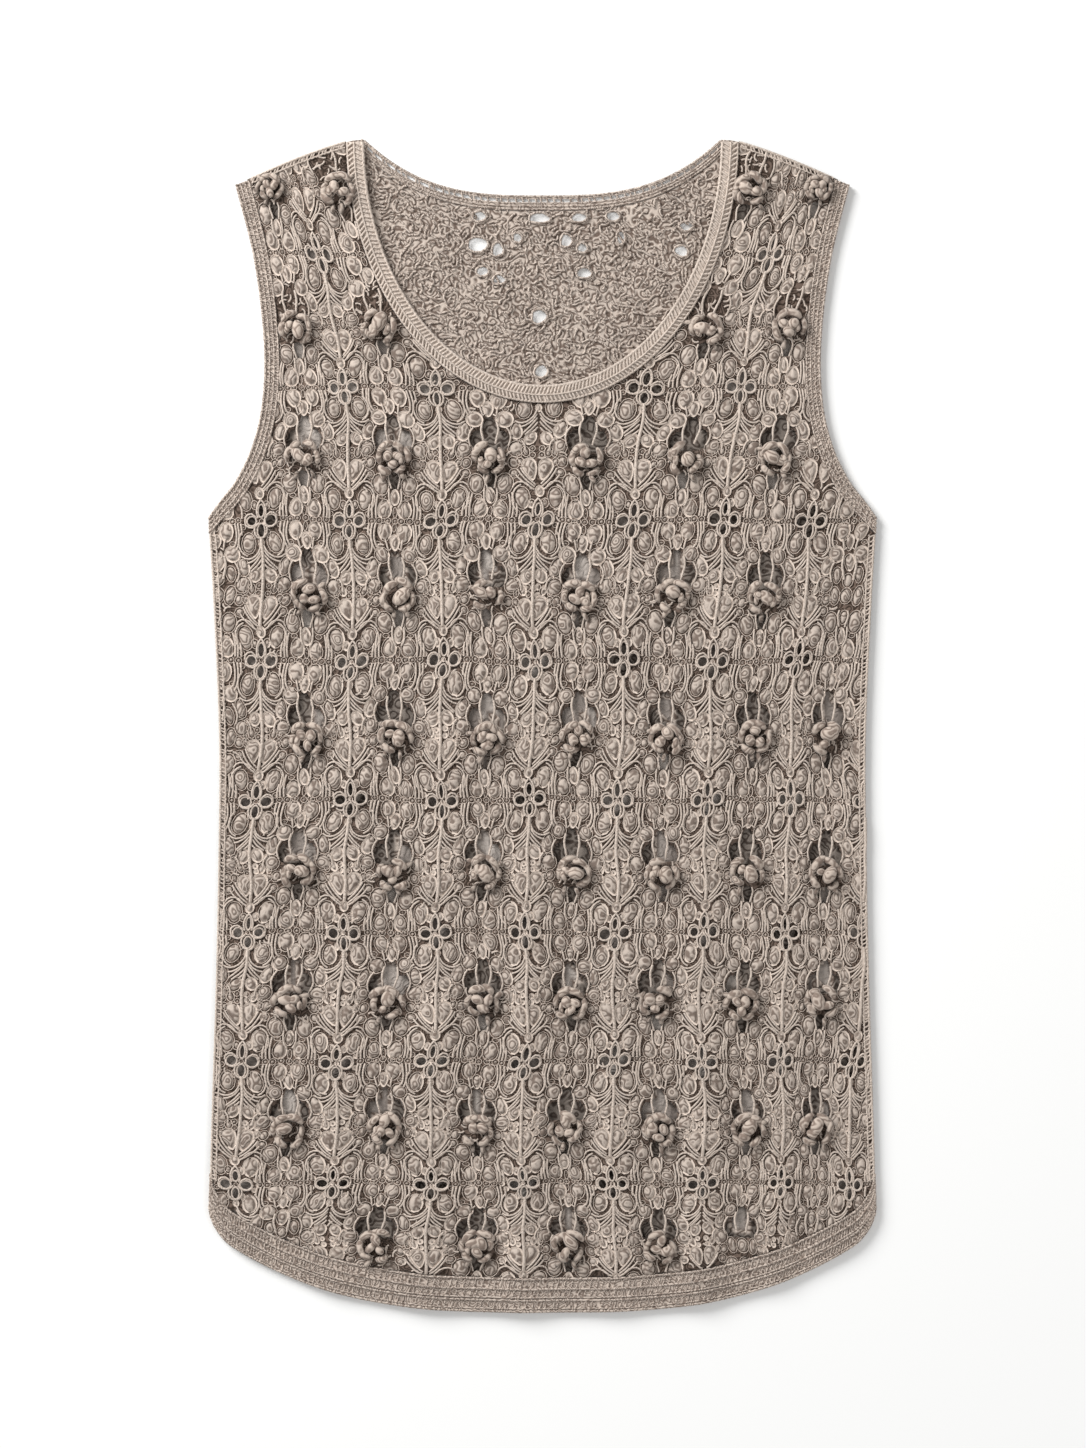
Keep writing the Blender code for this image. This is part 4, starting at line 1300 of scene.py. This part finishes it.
class LACEVEST_OT_seams(bpy.types.Operator):
    """Works the chained edge down each side and along each shoulder"""

    bl_idname = "lace_vest.seams"
    bl_label = "Seams"

    def execute(self, context):
        rng = random.Random(context.scene.lace_vest.seed + 6)
        routes = []
        for edge in (side_at, mirrored(side_at), shoulder_at, mirrored(shoulder_at)):
            routes += band_routes(edge, front_low, rng, "seam")
        cotton = yarn(context, "twisted_cord_cotton")
        finish_piece(new_object("front_seams", cord_mesh("front_seams", routes), cotton), "lace")
        return {"FINISHED"}


class LACEVEST_OT_hem(bpy.types.Operator):
    """Works the hem bands: ladders of stitches between corded lines, with a scalloped edge"""

    bl_idname = "lace_vest.hem"
    bl_label = "Hem"

    def execute(self, context):
        rng = random.Random(context.scene.lace_vest.seed + 5)
        for layer, low in LAYERS:
            name, node = f"hem_{layer}", f"hem_band_{layer}"
            worked_band(context, name, node, hem_at, low, rng, "hem", layer == "front")
        return {"FINISHED"}


class LACEVEST_OT_stage(bpy.types.Operator):
    """Lays the pale floor and sets the soft light and the camera straight above the vest"""

    bl_idname = "lace_vest.stage"
    bl_label = "Stage"

    def execute(self, context):
        bm = bmesh.new()
        bmesh.ops.create_grid(bm, x_segments=1, y_segments=1, size=4.0)
        mesh = bpy.data.meshes.new("floor")
        bm.to_mesh(mesh)
        bm.free()
        new_object("floor", mesh, studio_paper("white_studio_paper", linear("F4F4F3")))
        self.area_light("key", (-1.5, 1.4, 1.2), 1.3, 76)
        self.area_light("fill", (1.4, -1.2, 1.8), 1.8, 15)
        world = bpy.data.worlds.new("studio")
        context.scene.world = world
        world.use_nodes = True
        world.node_tree.nodes["Background"].inputs["Color"].default_value = (1, 1, 1, 1)
        world.node_tree.nodes["Background"].inputs["Strength"].default_value = 0.45
        self.camera(context.scene)
        context.scene.view_settings.view_transform = "Standard"
        return {"FINISHED"}

    def area_light(self, name, at, size, power):
        light = bpy.data.lights.new(name, "AREA")
        light.shape = "DISK"
        light.size = size
        light.energy = power
        obj = bpy.data.objects.new(name, light)
        obj.location = at
        obj.rotation_euler = (-Vector(at)).to_track_quat("-Z", "Y").to_euler()
        bpy.context.scene.collection.objects.link(obj)

    def camera(self, scene):
        camera = bpy.data.cameras.new("camera")
        camera.sensor_width = 36
        camera.lens = 85
        obj = bpy.data.objects.new("camera", camera)
        away = PHOTO_HEIGHT * PHOTO_SCALE * camera.lens / camera.sensor_width
        middle_x = (PHOTO_WIDTH / 2 - PHOTO_MIDDLE_COLUMN) * PHOTO_SCALE
        middle_y = TOP - (PHOTO_HEIGHT / 2 - PHOTO_TOP_ROW) * PHOTO_SCALE
        obj.location = (middle_x, middle_y, away)
        scene.collection.objects.link(obj)
        scene.camera = obj


PIECES = (
    LACEVEST_OT_back,
    LACEVEST_OT_front,
    LACEVEST_OT_flowers,
    LACEVEST_OT_neck,
    LACEVEST_OT_armholes,
    LACEVEST_OT_seams,
    LACEVEST_OT_hem,
    LACEVEST_OT_stage,
)


class LACEVEST_PT_sidebar(bpy.types.Panel):
    bl_idname = "LACEVEST_PT_sidebar"
    bl_label = "Lace vest"
    bl_space_type = "VIEW_3D"
    bl_region_type = "UI"
    bl_category = "Lace vest"

    def draw(self, context):
        for name in LaceVestProperties.__annotations__:
            self.layout.prop(context.scene.lace_vest, name)
        for piece in PIECES:
            self.layout.operator(piece.bl_idname)


CLASSES = (LaceVestProperties, *PIECES, LACEVEST_PT_sidebar)


def register():
    for cls in CLASSES:
        bpy.utils.register_class(cls)
    bpy.types.Scene.lace_vest = PointerProperty(type=LaceVestProperties)


def unregister():
    del bpy.types.Scene.lace_vest
    for cls in reversed(CLASSES):
        bpy.utils.unregister_class(cls)


def main():
    register()
    bpy.ops.lace_vest.back()
    bpy.ops.lace_vest.front()
    bpy.ops.lace_vest.flowers()
    bpy.ops.lace_vest.neck()
    bpy.ops.lace_vest.armholes()
    bpy.ops.lace_vest.seams()
    bpy.ops.lace_vest.hem()
    bpy.ops.lace_vest.stage()


if __name__ == "__main__":
    main()
